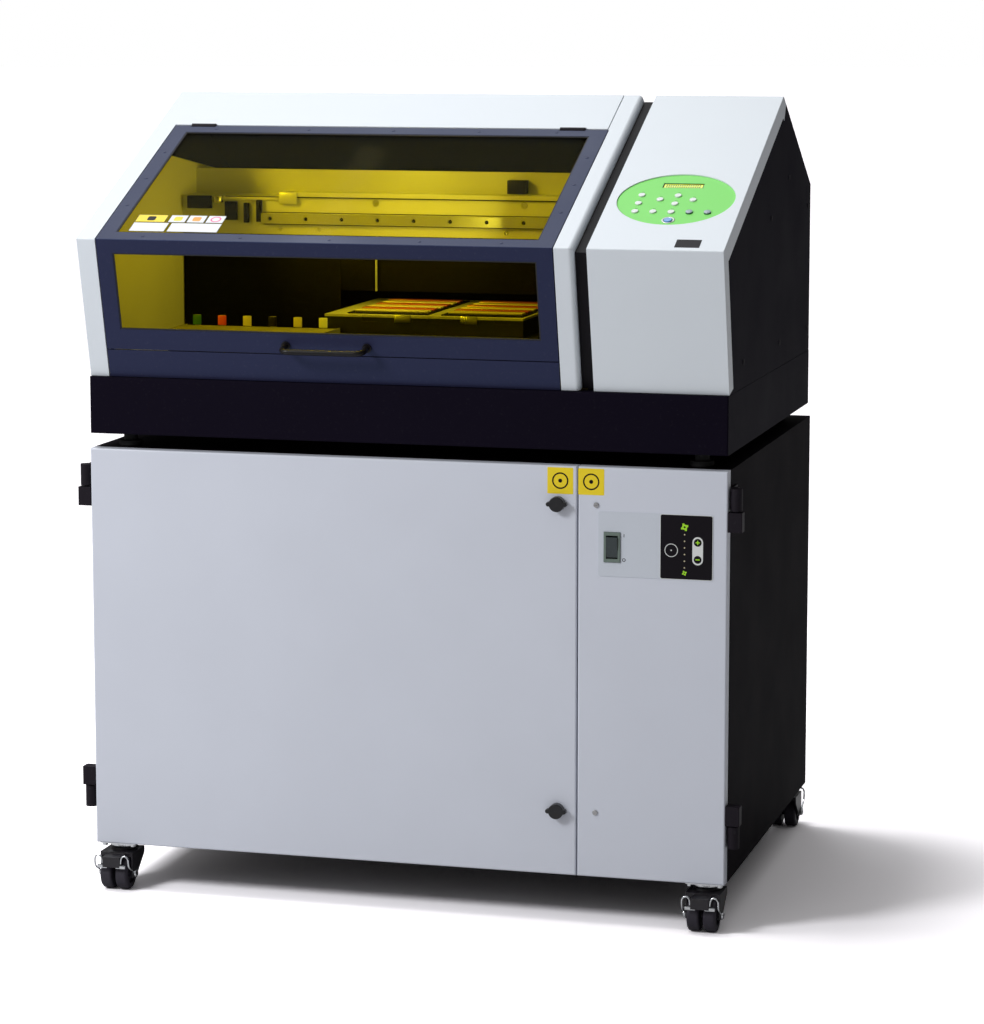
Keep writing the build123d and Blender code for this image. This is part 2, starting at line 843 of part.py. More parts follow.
def cheek_cover():
    """Narrow right-hand column of the main housing, with a rounded outer edge."""
    x0, x1 = lid_x1, main_x1
    skin = strip(cover_path, 0, cover_t, x0, x1)
    side = strip(cover_path, 0, cover_return, x1 - cover_t, x1)
    wall = strip(
        [foot_pt, bend_pt, on_slope(lid_slope_len)], 0, lid_return, x0 + seam, x0 + seam + cover_t
    )
    shape = round_bends(skin + side + wall)
    lid_gap = strip([foot_pt, bend_pt, on_slope(lid_slope_len)], -2, cover_t + 1, x0 - 1, x0 + seam)
    shape -= lid_gap
    rim = [
        e
        for e in shape.edges()
        if abs(e.center().X - x1) < 0.01 and lies_on_path(e, cover_path)
    ]
    return fillet(rim, cheek_r)


def lies_on_path(edge, path):
    """True for an edge whose middle is on the outer face of a cover."""
    c = edge.center()
    for a, b in zip(path, path[1:]):
        size = math.hypot(b[0] - a[0], b[1] - a[1])
        across = ((c.Y - a[0]) * (b[1] - a[1]) - (c.Z - a[1]) * (b[0] - a[0])) / size
        inside = ((c.Y - a[0]) * (b[0] - a[0]) + (c.Z - a[1]) * (b[1] - a[1])) / size
        if abs(across) < 0.8 and -0.8 < inside < size + 0.8 and edge.length > 1.0:
            if abs(edge.tangent_at(0.5).X) < 0.5:
                return not at_path_end(c, path)
    return False


def at_path_end(point, path):
    """True near the first or last point of a path."""
    return any(math.hypot(point.Y - p[0], point.Z - p[1]) < 4 for p in (path[0], path[-1]))


def front_apron():
    """Fixed panel below the lid."""
    path = [foot_pt, on_front(lid_front_len + seam)]
    skin = strip(path, 0, cover_t, lid_x0, lid_x1)
    fold = strip([foot_pt, along(foot_pt, bend_pt, cover_t)], 0, 18, lid_x0, lid_x1)
    return skin + fold


def side_cover(side):
    """Black side panel behind the folded edge of the white cover."""
    outer = side * half_prn
    x0, x1 = sorted((outer, outer - side * cover_t))
    outline = [foot_pt, bend_pt, ridge_pt, back_bend_pt, back_foot_pt]
    plate = prism_x(outline, x0, x1)
    plate -= strip(cover_path, -20, cover_return + 1, x0 - 1, x1 + 1)
    edge_x = outer
    rim = [
        e
        for e in plate.edges()
        if abs(e.center().X - edge_x) < 0.01 and e.center().Y > chassis_d - 1 or e.center().Z > 1e5
    ]
    return fillet(rim, cover_edge_r)


def rear_cover():
    """Back skin between the side panels, with louvres and the exhaust hole."""
    x0, x1 = -half_prn + cover_t + 0.5, half_prn - cover_t - 0.5
    start = along(ridge_pt, back_bend_pt, ridge_fold + seam)
    skin = strip([start, back_bend_pt, back_foot_pt], 0, cover_t, x0, x1)
    skin = fillet(edges_along_x(skin, back_bend_pt), cover_edge_r)
    skin -= rod(
        (collar_x, chassis_d - 10, deck_z1 + collar_up_printer), (0, 1, 0), collar_r - collar_wall, 20
    )
    slot_w, slot_pitch = 90.0, 14.0
    for column in range(3):
        for row in range(7):
            x = 120 + column * (slot_w + 22)
            z = deck_z1 + 60 + row * slot_pitch
            skin -= box(x - slot_w / 2, x + slot_w / 2, chassis_d - 10, chassis_d + 10, z, z + 5)
    return skin


def control_cover():
    """White front and slope of the control housing, folded back at both sides."""
    x0, x1 = control_x0, control_x1
    skin = strip(cover_path, 0, cover_t, x0, x1)
    left = strip(cover_path, 0, cover_return, x0, x0 + cover_t)
    right = strip(cover_path, 0, cover_return, x1 - cover_t, x1)
    shape = round_bends(skin + left + right)
    hole = extrude(
        slope_plane * Pos(panel_x, panel_up, -10) * Ellipse(panel_a, panel_b), 20
    )
    return shape - hole


# ---------------------------------------------------------------- control panel
def key_spots():
    """Key name to (x, distance up the slope, radius)."""
    row0 = panel_up - 39.0
    x0 = panel_x - 2 * key_pitch
    mid = panel_x + 0.6
    return {
        "menu": (x0, row0 + 2 * key_row_pitch, key_r),
        "enter": (x0, row0 + key_row_pitch, key_r),
        "function": (x0, row0, key_r),
        "setup": (x0 + key_pitch, row0, key_r),
        "clean": (x0 + 2 * key_pitch, row0, key_r),
        "up": (mid, row0 + 2 * key_row_pitch, key_r),
        "down": (mid, row0 + key_row_pitch, key_r),
        "left": (mid - cursor_pitch, row0 + 1.5 * key_row_pitch, key_r),
        "right": (mid + cursor_pitch, row0 + 1.5 * key_row_pitch, key_r),
        "power": (mid, row0 - key_row_pitch, power_key_r),
    }


def lamp_spots():
    row0 = panel_up - 39.0
    return [(panel_x + n * key_pitch, row0) for n in (1, 2)]


display_spot = (panel_x + 2.0, panel_up + 46.5)


def slope_disc(x, up, radius, n0, n1):
    """A disc on the slope between two heights above the cover's face."""
    return extrude(slope_plane * Pos(x, up, n0) * Circle(radius), n1 - n0)


def key_panel():
    top = -panel_sink
    disc = extrude(
        slope_plane * Pos(panel_x, panel_up, top - panel_t) * Ellipse(panel_a - 0.3, panel_b - 0.3),
        panel_t,
    )
    rim = extrude(
        slope_plane
        * Pos(panel_x, panel_up, -cover_t - 2)
        * Ellipse(panel_a + panel_rim, panel_b + panel_rim),
        2,
    )
    shape = disc + rim
    for x, up, radius in key_spots().values():
        shape -= slope_disc(x, up, radius + key_clear, -20, 5)
    for x, up in lamp_spots():
        shape -= slope_disc(x, up, key_r + key_clear, -20, 5)
    x, up = display_spot
    return shape - extrude(slope_plane * Pos(x, up, -20) * Rectangle(display_w, display_h), 25)


def key(name):
    x, up, radius = key_spots()[name]
    panel_back = -cover_t - 2
    cap_top = -panel_sink + key_stand
    cap = slope_disc(x, up, radius, panel_back - 0.5, cap_top)
    cap = fillet(cap.edges().sort_by(Axis.Z)[-1:], 0.8)
    flange = slope_disc(x, up, radius + 1.6, panel_back - 1.3, panel_back - 0.1)
    return cap + flange


def display_board():
    """Circuit board behind the keys, with the display and two lamps on it."""
    board_top = -cover_t - 2 - 1.3 - key_travel - 1.5
    board = extrude(
        slope_plane * Pos(panel_x, panel_up, board_top - board_t) * Rectangle(150, 130), board_t
    )
    x, up = display_spot
    screen = extrude(
        slope_plane * Pos(x, up, board_top) * Rectangle(display_w - 0.8, display_h - 0.8),
        -panel_sink - 1.6 - board_top,
    )
    lamps = []
    for lx, lup in lamp_spots():
        lens = slope_disc(lx, lup, key_r, board_top, -panel_sink + key_stand - 0.6)
        lamps.append(fillet(lens.edges().sort_by(Axis.Z)[-1:], 1.2))
    posts = [
        slope_disc(panel_x + dx, panel_up + dup, 3, board_top, -cover_t - 2)
        for dx in (-62, 62)
        for dup in (-50, 50)
    ]
    return group(board, screen, *lamps, *posts)


# ---------------------------------------------------------------- lid
def lid_hinge_xs():
    return [
        lid_x0 + lid_hinge_inset + lid_hinge_w / 2,
        lid_x1 - lid_hinge_inset - 10 - lid_hinge_w / 2,
    ]


def lid_notch(x):
    """Room for a hinge's knuckles in the edges of the lid and the top panel."""
    a = on_slope(lid_slope_len + seam - hinge_notch)
    b = on_slope(lid_slope_len + seam + hinge_notch)
    return strip([a, b], -5, lid_return + 10, x - lid_hinge_w / 2 - 1, x + lid_hinge_w / 2 + 1)


lid_axis = offset_path([on_slope(lid_slope_len + seam), ridge_pt], lid_pin_depth)[0]


def lid_hinge_halves(x):
    """(fixed leaf with pin, lid leaf) of one lid hinge."""
    w = lid_hinge_w
    y, z = lid_axis
    t = 2.0
    tube = rod((x - w / 2, y, z), (1, 0, 0), knuckle_r, w)
    middle = box(x - w / 4 - 0.25, x + w / 4 + 0.25, y - 30, y + 30, z - 30, z + 30)
    centre = box(x - w / 4, x + w / 4, y - 30, y + 30, z - 30, z + 30)
    pin = rod((x - w / 2, y, z), (1, 0, 0), lid_pin_r, w)
    up_leaf = strip(
        [on_slope(lid_slope_len + seam + 1), on_slope(lid_slope_len + seam + 26)],
        cover_t,
        cover_t + t,
        x - w / 2,
        x + w / 2,
    )
    fixed = (tube + up_leaf) - middle
    low_leaf = strip(
        [on_slope(lid_slope_len + seam - 10.5), on_slope(lid_slope_len + seam - 1)],
        lid_t,
        lid_t + t,
        x - w / 4,
        x + w / 4,
    )
    fixed = fixed + pin
    turning = ((tube & centre) + low_leaf) - rod(
        (x - w, y, z), (1, 0, 0), lid_pin_r + pin_clear, 2 * w
    )
    up_leaf_full = strip(
        [on_slope(lid_slope_len + seam + knuckle_r + 1), on_slope(lid_slope_len + seam + 26)],
        cover_t,
        cover_t + t,
        x - w / 2,
        x + w / 2,
    )
    return fixed + up_leaf_full, turning


def lid_hinges():
    return group(*[lid_hinge_halves(x)[1] for x in lid_hinge_xs()])


def lid_frame():
    path = [on_front(lid_front_len), bend_pt, on_slope(lid_slope_len)]
    shape = strip(path, 0, lid_t, lid_x0, lid_x1)
    shape += strip(path, 0, lid_return, lid_x0, lid_x0 + lid_t)
    shape += strip(path, 0, lid_return, lid_x1 - lid_t, lid_x1)
    shape += strip([path[0], on_front(lid_front_len - lid_t)], 0, lid_return, lid_x0, lid_x1)
    shape = fillet(edges_along_x(shape, bend_pt), 1.5)
    m = window_margin
    x0, x1 = lid_x0 + m, lid_x1 - m
    shape -= strip([on_slope(m - 2), on_slope(lid_slope_len - m + 2)], -5, lid_return / 2, x0, x1)
    shape -= strip([on_front(window_low_end), on_front(m - 3)], -5, lid_return / 2, x0, x1)
    for x in lid_hinge_xs():
        shape -= lid_notch(x)
    return shape


def lid_windows():
    m = window_margin
    x0, x1 = lid_x0 + m - window_lap, lid_x1 - m + window_lap
    depth = (lid_t, lid_t + window_t)
    upper = strip(
        [on_slope(m - 2 - window_lap), on_slope(lid_slope_len - m + 2 + window_lap - 1)], *depth, x0, x1
    )
    lower = strip(
        [on_front(window_low_end + window_lap), on_front(m - 3 - window_lap)], *depth, x0, x1
    )
    return group(upper, lower)


def lid_handle():
    """Round bar bow with a foot at each end."""
    x = (lid_x0 + lid_x1) / 2 - 3
    down = -(lid_front_len - handle_from_seam)
    half = handle_w / 2 - handle_rod_r
    bow = FilletPolyline(
        (x - half, down, 0),
        (x - half, down, handle_reach),
        (x + half, down, handle_reach),
        (x + half, down, 0),
        radius=handle_bend_r,
    )
    flat = sweep(Plane(origin=(x - half, down, 0), z_dir=(0, 0, 1)) * Circle(handle_rod_r), path=bow)
    for side in (-1, 1):
        flat += Pos(x + side * half, down, 1.5) * Cylinder(handle_rod_r + 2.5, 3)
    return front_plane.location * flat


# ---------------------------------------------------------------- motion system
rail_x0 = -half_prn + rail_end_gap + 30
rail_x1 = frame_x - frame_t - 6


def gantry_beam():
    """Box beam across the machine, with a step along its front and an upstand behind."""
    x0, x1 = -frame_x + frame_t, frame_x - frame_t
    y0, y1 = beam_front, beam_front + beam_d
    w = beam_wall
    tube = box(x0, x1, y0, y1, beam_z0, beam_z1) - box(
        x0 - 1, x1 + 1, y0 + w, y1 - w, beam_z0 + w, beam_z1 - w
    )
    upstand = box(x0, x1, y1 - w, y1, beam_z1 - w, beam_z1 + beam_upstand)
    cap = box(x0 + 170, x1, y0 - 5, y0 + 22, beam_z1, beam_z1 + 7)
    return tube + upstand + cap


def linear_rails():
    """The carriage rail on the beam and the two table rails on the chassis floor."""
    half = rail_w / 2
    x_rail = box(rail_x0, rail_x1, beam_front - rail_t, beam_front, rail_z - half, rail_z + half)
    for side in (-1, 1):
        groove = box(
            rail_x0 - 1,
            rail_x1 + 1,
            beam_front - rail_t * 0.75,
            beam_front - rail_t * 0.4,
            *sorted((rail_z + side * half, rail_z + side * (half - 1.8))),
        )
        x_rail -= groove
    count = int((rail_x1 - rail_x0 - 20) / rail_pitch) + 1
    for n in range(count):
        x = rail_x0 + 15 + n * rail_pitch
        x_rail -= rod((x, beam_front - rail_t - 1, rail_z), (0, 1, 0), rail_hole_r, 7)
    y_rails = [
        box(
            side * y_rail_x - y_rail_w / 2,
            side * y_rail_x + y_rail_w / 2,
            60,
            chassis_d - 25,
            chassis_floor,
            chassis_floor + y_rail_t,
        )
        for side in (-1, 1)
    ]
    return group(x_rail, *y_rails)


carriage_x1 = frame_x - frame_t - 8
carriage_x0 = carriage_x1 - carriage_w
carriage_z0 = table_z1 + head_gap


def print_carriage():
    """Housing with bearing block, print heads and curing lamp."""
    y1 = beam_front - rail_t - 3
    y0 = y1 - carriage_d
    housing = box(carriage_x0, carriage_x1 - 42, y0, y1, carriage_z0 + 10, carriage_z0 + carriage_h)
    housing = fillet(housing.edges().filter_by(Axis.Z), 4)
    heads = [
        box(
            carriage_x0 + 12 + n * 34,
            carriage_x0 + 36 + n * 34,
            y0 + 20,
            y1 - 20,
            carriage_z0,
            carriage_z0 + 10,
        )
        for n in range(3)
    ]
    lamp = box(carriage_x1 - 42, carriage_x1, y0 + 16, y1 - 10, carriage_z0 + 4, carriage_z0 + 92)
    for n in range(7):
        z = carriage_z0 + 30 + n * 8
        lamp -= box(carriage_x1 - 6, carriage_x1 + 1, y0 + 10, y1, z, z + 4)
    mid = (carriage_x0 + carriage_x1 - 42) / 2
    block = box(mid - 42, mid + 42, y1, beam_front - 1.5, rail_z - 22, rail_z + 22)
    block -= box(
        mid - 43,
        mid + 43,
        beam_front - rail_t - slide_clear,
        beam_front,
        rail_z - rail_w / 2 - slide_clear,
        rail_z + rail_w / 2 + slide_clear,
    )
    return group(housing, *heads, lamp, block)


saddle_z0 = chassis_floor + y_rail_t + 5
saddle_y0 = table_front + (table_d - saddle_d) / 2
tower_x = table_w / 2 + skirt_out + 4


def table_saddle():
    """Cross plate on four bearing blocks, with a lift tower at each side."""
    y0, y1 = saddle_y0, saddle_y0 + saddle_d
    plate = box(-tower_x - tower_w, tower_x + tower_w, y0, y1, saddle_z0, saddle_z0 + saddle_t)
    blocks = []
    for side in (-1, 1):
        for y in (y0 + 4, y1 - 44):
            x = side * y_rail_x
            block = box(x - 20, x + 20, y, y + 40, chassis_floor + 2, saddle_z0)
            block -= box(
                x - y_rail_w / 2 - slide_clear,
                x + y_rail_w / 2 + slide_clear,
                y - 1,
                y + 41,
                chassis_floor,
                chassis_floor + y_rail_t + slide_clear,
            )
            blocks.append(block)
    ty0 = table_front + (table_d - tower_d) / 2
    towers = [
        box(
            *sorted((side * tower_x, side * (tower_x + tower_w))),
            ty0,
            ty0 + tower_d,
            saddle_z0 + saddle_t,
            table_z1 - tower_top_below,
        )
        for side in (-1, 1)
    ]
    return group(plate, *blocks, *towers)


def work_table():
    """Table plate with its clips' notches on a shallow open box, which stands on a skirt frame."""
    x = table_w / 2
    y0, y1 = table_front, table_front + table_d
    s = table_sheet
    plate_z = table_z1 - table_plate_t
    top = box(-x, x, y0, y1, plate_z, table_z1)
    clip_w = 26.0
    for n in range(3):
        cx = -x + table_w * (n + 0.5) / 3 + 20
        top -= box(cx - clip_w / 2, cx + clip_w / 2, y0 - 1, y0 + s / 2, plate_z - 1, table_z1 + 1)
    rim_y0, rim_y1 = y0 - 8, y1 + 8
    walls = [
        box(-x, x, y0, y0 + s, table_z0, plate_z),
        box(-x, x, y1 - s, y1, table_z0, plate_z),
        box(-x, -x + s, y0 + s, y1 - s, table_z0, plate_z),
        box(x - s, x, y0 + s, y1 - s, table_z0, plate_z),
    ]
    skirt = [
        box(-x - skirt_out, x + skirt_out, rim_y0, y0 + skirt_in, table_z0 - skirt_t, table_z0),
        box(-x - skirt_out, x + skirt_out, y1 - skirt_in, rim_y1, table_z0 - skirt_t, table_z0),
    ]
    for side in (-1, 1):
        x0, x1 = sorted((side * (x - skirt_in), side * (x + skirt_out)))
        skirt.append(box(x0, x1, y0 + skirt_in, y1 - skirt_in, table_z0 - skirt_t, table_z0))
    ty0 = table_front + (table_d - tower_d) / 2
    tongues = [
        box(
            *sorted((side * (tower_x - 0.5), side * (x + skirt_out - 0.5))),
            ty0 + 5,
            ty0 + tower_d - 5,
            table_z1 - tower_top_below - 30,
            table_z0 - skirt_t,
        )
        for side in (-1, 1)
    ]
    return group(top, *walls, *skirt, *tongues)


def drive_motors():
    """Carriage motor behind the beam's left end, and table motor on the chassis floor."""
    size = 42.0
    x0 = -frame_x + frame_t + 12
    y0 = beam_front + beam_d
    carriage = box(x0, x0 + size, y0, y0 + 40, beam_z0 + 4, beam_z0 + 4 + size)
    carriage = chamfer(carriage.edges().filter_by(Axis.Y), 4)
    y1 = chassis_d - chassis_sheet - 4
    table = box(-size / 2, size / 2, y1 - 40, y1, chassis_floor, chassis_floor + size)
    table = chamfer(table.edges().filter_by(Axis.Y), 4)
    return group(carriage, table)


# ---------------------------------------------------------------- ink
ink_x0 = -half_prn + ink_left


def ink_bay():
    s = ink_sheet
    half = ink_w / 2 + 3.5
    x0 = ink_x0 - half - s
    x1 = ink_x0 + (ink_count - 1) * ink_pitch + half + s
    y0, y1 = ink_front, ink_front + ink_d
    z0, z1 = deck_z1, deck_z1 + ink_h
    floor = box(x0 + s, x1 - s, y0 + s, y1 - s, z0, z0 + s)
    walls = [
        box(x0, x0 + s, y0, y1, z0, z1),
        box(x1 - s, x1, y0, y1, z0, z1),
        box(x0 + s, x1 - s, y0, y0 + s, z0, z1 - s),
        box(x0 + s, x1 - s, y1 - s, y1, z0, z1 - 20),
    ]
    shelf = box(x0 + s, x1 - s, y0, y1 - 14, z1 - s, z1)
    return group(floor, *walls, shelf)


def ink_cartridges():
    s = ink_sheet
    solids = []
    for n in range(ink_count):
        x = ink_x0 + n * ink_pitch
        y0, y1 = ink_front + s + 1, ink_front + ink_d - s - 1
        body = box(x - ink_w / 2, x + ink_w / 2, y0, y1, deck_z1 + s, deck_z1 + ink_h - s - 1)
        body = fillet(body.edges().filter_by(Axis.Z), 3)
        tab = box(x - 4.5, x + 4.5, y1 - 9, y1 - 6.5, deck_z1 + ink_h - s - 1, deck_z1 + ink_h + ink_tab)
        solids.append(body + tab)
    return group(*solids)


# ---------------------------------------------------------------- hose collars
def hose_collars():
    """Round spigots for the fume hose: out of the printer's back and into the cabinet's back."""
    solids = []
    for y, z in ((chassis_d, deck_z1 + collar_up_printer), (cabinet_d, cab_z1 - collar_down_cabinet)):
        tube = rod((collar_x, y, z), (0, 1, 0), collar_r, collar_len)
        flange = rod((collar_x, y, z), (0, 1, 0), collar_flange_r, 2)
        bore = rod((collar_x, y - 1, z), (0, 1, 0), collar_r - collar_wall, collar_len + 2)
        solids.append(tube + flange - bore)
    return group(*solids)


# ---------------------------------------------------------------- all pieces
def all_pieces():
    pieces = {
        "cabinet_body": cabinet_body(),
        "cabinet_bulkhead": cabinet_bulkhead(),
        "filter_cartridges": filter_cartridges(),
        "blower_scroll": blower_scroll(),
        "blower_impeller": blower_impeller(),
        "castor_mounts": castor_mounts(),
        "fixed_hinge_leaves": fixed_hinge_leaves(),
        "filter_door": filter_door(),
        "filter_door_hinges": door_hinges(-1),
        "filter_latch_upper": filter_latch(latch_z[0]),
        "filter_latch_lower": filter_latch(latch_z[1]),
        "service_door": service_door(),
        "service_door_hinges": door_hinges(1),
        "service_door_screws": service_door_screws(),
        "airflow_panel": airflow_panel(),
        "power_switch_frame": power_switch_frame(),
        "power_rocker": power_rocker(),
        "base_chassis": base_chassis(),
        "machine_feet": machine_feet(),
        "side_frames": side_frames(),
        "main_cover": main_cover(),
        "cheek_cover": cheek_cover(),
        "front_apron": front_apron(),
        "left_side_cover": side_cover(-1),
        "right_side_cover": side_cover(1),
        "rear_cover": rear_cover(),
        "control_cover": control_cover(),
        "key_panel": key_panel(),
        "display_board": display_board(),
        "lid_frame": lid_frame(),
        "lid_windows": lid_windows(),
        "lid_handle": lid_handle(),
        "lid_hinges": lid_hinges(),
        "gantry_beam": gantry_beam(),
        "linear_rails": linear_rails(),
        "print_carriage": print_carriage(),
        "table_saddle": table_saddle(),
        "work_table": work_table(),
        "drive_motors": drive_motors(),
        "ink_bay": ink_bay(),
        "ink_cartridges": ink_cartridges(),
        "hose_collars": hose_collars(),
    }
    for name in castor_spots:
        pieces[f"castor_fork_{name}"] = castor_fork(name)
        pieces[f"castor_wheels_{name}"] = castor_wheels(name)
    for name in key_spots():
        pieces[f"key_{name}"] = key(name)
    return pieces


def middle_y(pieces):
    """The middle of the whole object from front to back."""
    boxes = [shape.bounding_box() for shape in pieces.values()]
    return (min(b.min.Y for b in boxes) + max(b.max.Y for b in boxes)) / 2


def main():
    os.makedirs("parts", exist_ok=True)
    pieces = all_pieces()
    # The origin is on the floor, below the middle of the whole object.
    shift_y = -middle_y(pieces)
    for name, shape in pieces.items():
        export_step(Pos(0, shift_y, 0) * shape, f"parts/{name}.step")


if __name__ == "__main__":
    main()
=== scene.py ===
import bpy
import json
import math
from mathutils import Matrix, Vector


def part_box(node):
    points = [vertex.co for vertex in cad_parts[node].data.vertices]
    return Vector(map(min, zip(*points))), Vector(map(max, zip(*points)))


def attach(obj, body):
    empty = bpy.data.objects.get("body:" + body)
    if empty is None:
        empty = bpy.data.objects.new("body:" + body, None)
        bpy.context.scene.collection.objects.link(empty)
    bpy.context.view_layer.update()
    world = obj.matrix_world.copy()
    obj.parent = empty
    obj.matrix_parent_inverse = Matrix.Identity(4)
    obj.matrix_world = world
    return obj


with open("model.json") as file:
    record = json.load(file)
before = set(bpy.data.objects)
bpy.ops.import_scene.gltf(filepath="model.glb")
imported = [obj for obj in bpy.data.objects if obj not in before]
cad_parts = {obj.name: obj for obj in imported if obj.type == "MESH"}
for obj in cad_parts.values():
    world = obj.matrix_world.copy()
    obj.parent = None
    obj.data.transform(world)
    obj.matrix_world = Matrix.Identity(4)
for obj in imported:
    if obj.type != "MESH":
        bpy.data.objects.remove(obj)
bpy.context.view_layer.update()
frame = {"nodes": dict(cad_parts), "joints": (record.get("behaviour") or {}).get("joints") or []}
joints = {joint["name"]: joint for joint in frame["joints"]}
print("frame loaded:", len(frame["nodes"]), "nodes")

# slopeFrame lies on the covers' slope, frontFrame on their front face, both with the bend as zero
layout = {
    "hingeFromBend": 0.3875,  # lid hinge pin, up the slope
    "hingeDepth": 0.0015,
    "frontInset": 0.007,  # foot of the front face behind the chassis front
    "capOverhang": 0.005,  # beam's front face behind the cap over it
    "skirtRim": 0.008,  # table top's front behind the rim of its skirt
}


def axesFrame(right, up, out, origin):
    matrix = Matrix((right, up, out)).transposed().to_4x4()
    matrix.translation = Vector(origin)
    return matrix


hingePin = Vector(joints["lid_hinge"]["pos_m"])
inward = Vector(joints["press_menu"]["axis"]).normalized()
slopeOut = -inward
slopeUp = Vector((0, slopeOut.z, -slopeOut.y))
bend = hingePin - slopeUp * layout["hingeFromBend"] + slopeOut * layout["hingeDepth"]
bend.x = 0
chassisLow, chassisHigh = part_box("base_chassis")
foot = Vector((0, chassisLow.y + layout["frontInset"], chassisHigh.z))
frontUp = (bend - foot).normalized()
frontOut = Vector((0, -frontUp.z, frontUp.y))
doorLow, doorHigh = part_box("filter_door")
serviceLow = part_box("service_door")[0]
tableLow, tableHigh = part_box("work_table")
beamLow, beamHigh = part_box("gantry_beam")
railLow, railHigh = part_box("linear_rails")
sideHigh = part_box("right_side_cover")[1]
rearLow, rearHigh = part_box("rear_cover")
cabinetLow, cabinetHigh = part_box("cabinet_body")
overlayLow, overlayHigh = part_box("airflow_panel")

slopeFrame = axesFrame((1, 0, 0), slopeUp, slopeOut, bend)
frontFrame = axesFrame((1, 0, 0), frontUp, frontOut, bend)
doorFrame = axesFrame((1, 0, 0), (0, 0, 1), (0, -1, 0), (0, doorLow.y, 0))
tableFrame = axesFrame((1, 0, 0), (0, 1, 0), (0, 0, 1), (0, tableLow.y + layout["skirtRim"], tableHigh.z))
rightFrame = axesFrame((0, 1, 0), (0, 0, 1), (1, 0, 0), (sideHigh.x, 0, 0))
leftFrame = axesFrame((0, -1, 0), (0, 0, 1), (-1, 0, 0), (-sideHigh.x, 0, 0))
rearFrame = axesFrame((-1, 0, 0), (0, 0, 1), (0, 1, 0), (0, rearHigh.y, 0))
cabinetRearFrame = axesFrame((-1, 0, 0), (0, 0, 1), (0, 1, 0), (0, cabinetHigh.y, 0))
beamFrame = axesFrame((1, 0, 0), (0, 0, 1), (0, -1, 0), (0, beamLow.y + layout["capOverhang"], 0))


def newGroup(name, inputs, outputs):
    tree = bpy.data.node_groups.new(name, "ShaderNodeTree")
    for label, kind, value in inputs:
        socket = tree.interface.new_socket(name=label, in_out="INPUT", socket_type=kind)
        socket.default_value = value
    for label, kind in outputs:
        tree.interface.new_socket(name=label, in_out="OUTPUT", socket_type=kind)
    return tree, tree.nodes.new("NodeGroupInput"), tree.nodes.new("NodeGroupOutput")


def mathNode(tree, operation, first, second):
    node = tree.nodes.new("ShaderNodeMath")
    node.operation = operation
    for index, value in enumerate((first, second)):
        if isinstance(value, (int, float)):
            node.inputs[index].default_value = value
        else:
            tree.links.new(value, node.inputs[index])
    return node.outputs[0]


def noiseNode(tree, scale, detail=3.0, stretch=None):
    coordinate = tree.nodes.new("ShaderNodeTexCoord").outputs["Object"]
    if stretch:
        mapping = tree.nodes.new("ShaderNodeMapping")
        mapping.inputs["Scale"].default_value = stretch
        tree.links.new(coordinate, mapping.inputs["Vector"])
        coordinate = mapping.outputs["Vector"]
    node = tree.nodes.new("ShaderNodeTexNoise")
    node.inputs["Detail"].default_value = detail
    tree.links.new(coordinate, node.inputs["Vector"])
    if isinstance(scale, (int, float)):
        node.inputs["Scale"].default_value = scale
    else:
        tree.links.new(scale, node.inputs["Scale"])
    return node.outputs["Fac"]


def mixColour(tree, factor, first, second, blend="MIX"):
    node = tree.nodes.new("ShaderNodeMix")
    node.data_type = "RGBA"
    node.blend_type = blend
    # inputs 6 and 7 and output 2 are the colour ones
    for socket, value in ((node.inputs[0], factor), (node.inputs[6], first), (node.inputs[7], second)):
        if isinstance(value, (int, float)):
            socket.default_value = value
        elif isinstance(value, tuple):
            socket.default_value = (*value[:3], 1.0)
        else:
            tree.links.new(value, socket)
    return node.outputs[2]


toneShift = {"fineScale": 240.0, "speckFrom": 0.62, "speckTo": 0.72, "dustColour": (0.30, 0.30, 0.30),
             "spread": 3.0, "roughSpread": 0.18}


# slow drift of tone and roughness, with fine specks of dust
def makeToneShift():
    tree, inside, outside = newGroup(
        "toneShift",
        [("Colour", "NodeSocketColor", (0.5, 0.5, 0.5, 1)), ("Amount", "NodeSocketFloat", 0.05),
         ("Scale", "NodeSocketFloat", 6.0), ("Roughness", "NodeSocketFloat", 0.5),
         ("Dust", "NodeSocketFloat", 0.05)],
        [("Colour", "NodeSocketColor"), ("Roughness", "NodeSocketFloat")],
    )
    broad = noiseNode(tree, inside.outputs["Scale"], 4.0)
    fine = noiseNode(tree, toneShift["fineScale"], 2.0)
    centred = mathNode(tree, "SUBTRACT", broad, 0.5)
    spread = mathNode(tree, "MULTIPLY", inside.outputs["Amount"], toneShift["spread"])
    level = mathNode(tree, "ADD", mathNode(tree, "MULTIPLY", centred, spread), 1.0)
    toned = tree.nodes.new("ShaderNodeVectorMath")
    toned.operation = "SCALE"
    tree.links.new(inside.outputs["Colour"], toned.inputs[0])
    tree.links.new(level, toned.inputs["Scale"])
    speck = tree.nodes.new("ShaderNodeMapRange")
    speck.inputs["From Min"].default_value = toneShift["speckFrom"]
    speck.inputs["From Max"].default_value = toneShift["speckTo"]
    tree.links.new(fine, speck.inputs["Value"])
    dusty = mathNode(tree, "MULTIPLY", speck.outputs[0], inside.outputs["Dust"])
    dusted = mixColour(tree, dusty, toned.outputs[0], toneShift["dustColour"])
    tree.links.new(dusted, outside.inputs["Colour"])
    rough = mathNode(tree, "MULTIPLY", centred, toneShift["roughSpread"])
    tree.links.new(mathNode(tree, "ADD", inside.outputs["Roughness"], rough), outside.inputs["Roughness"])
    return tree


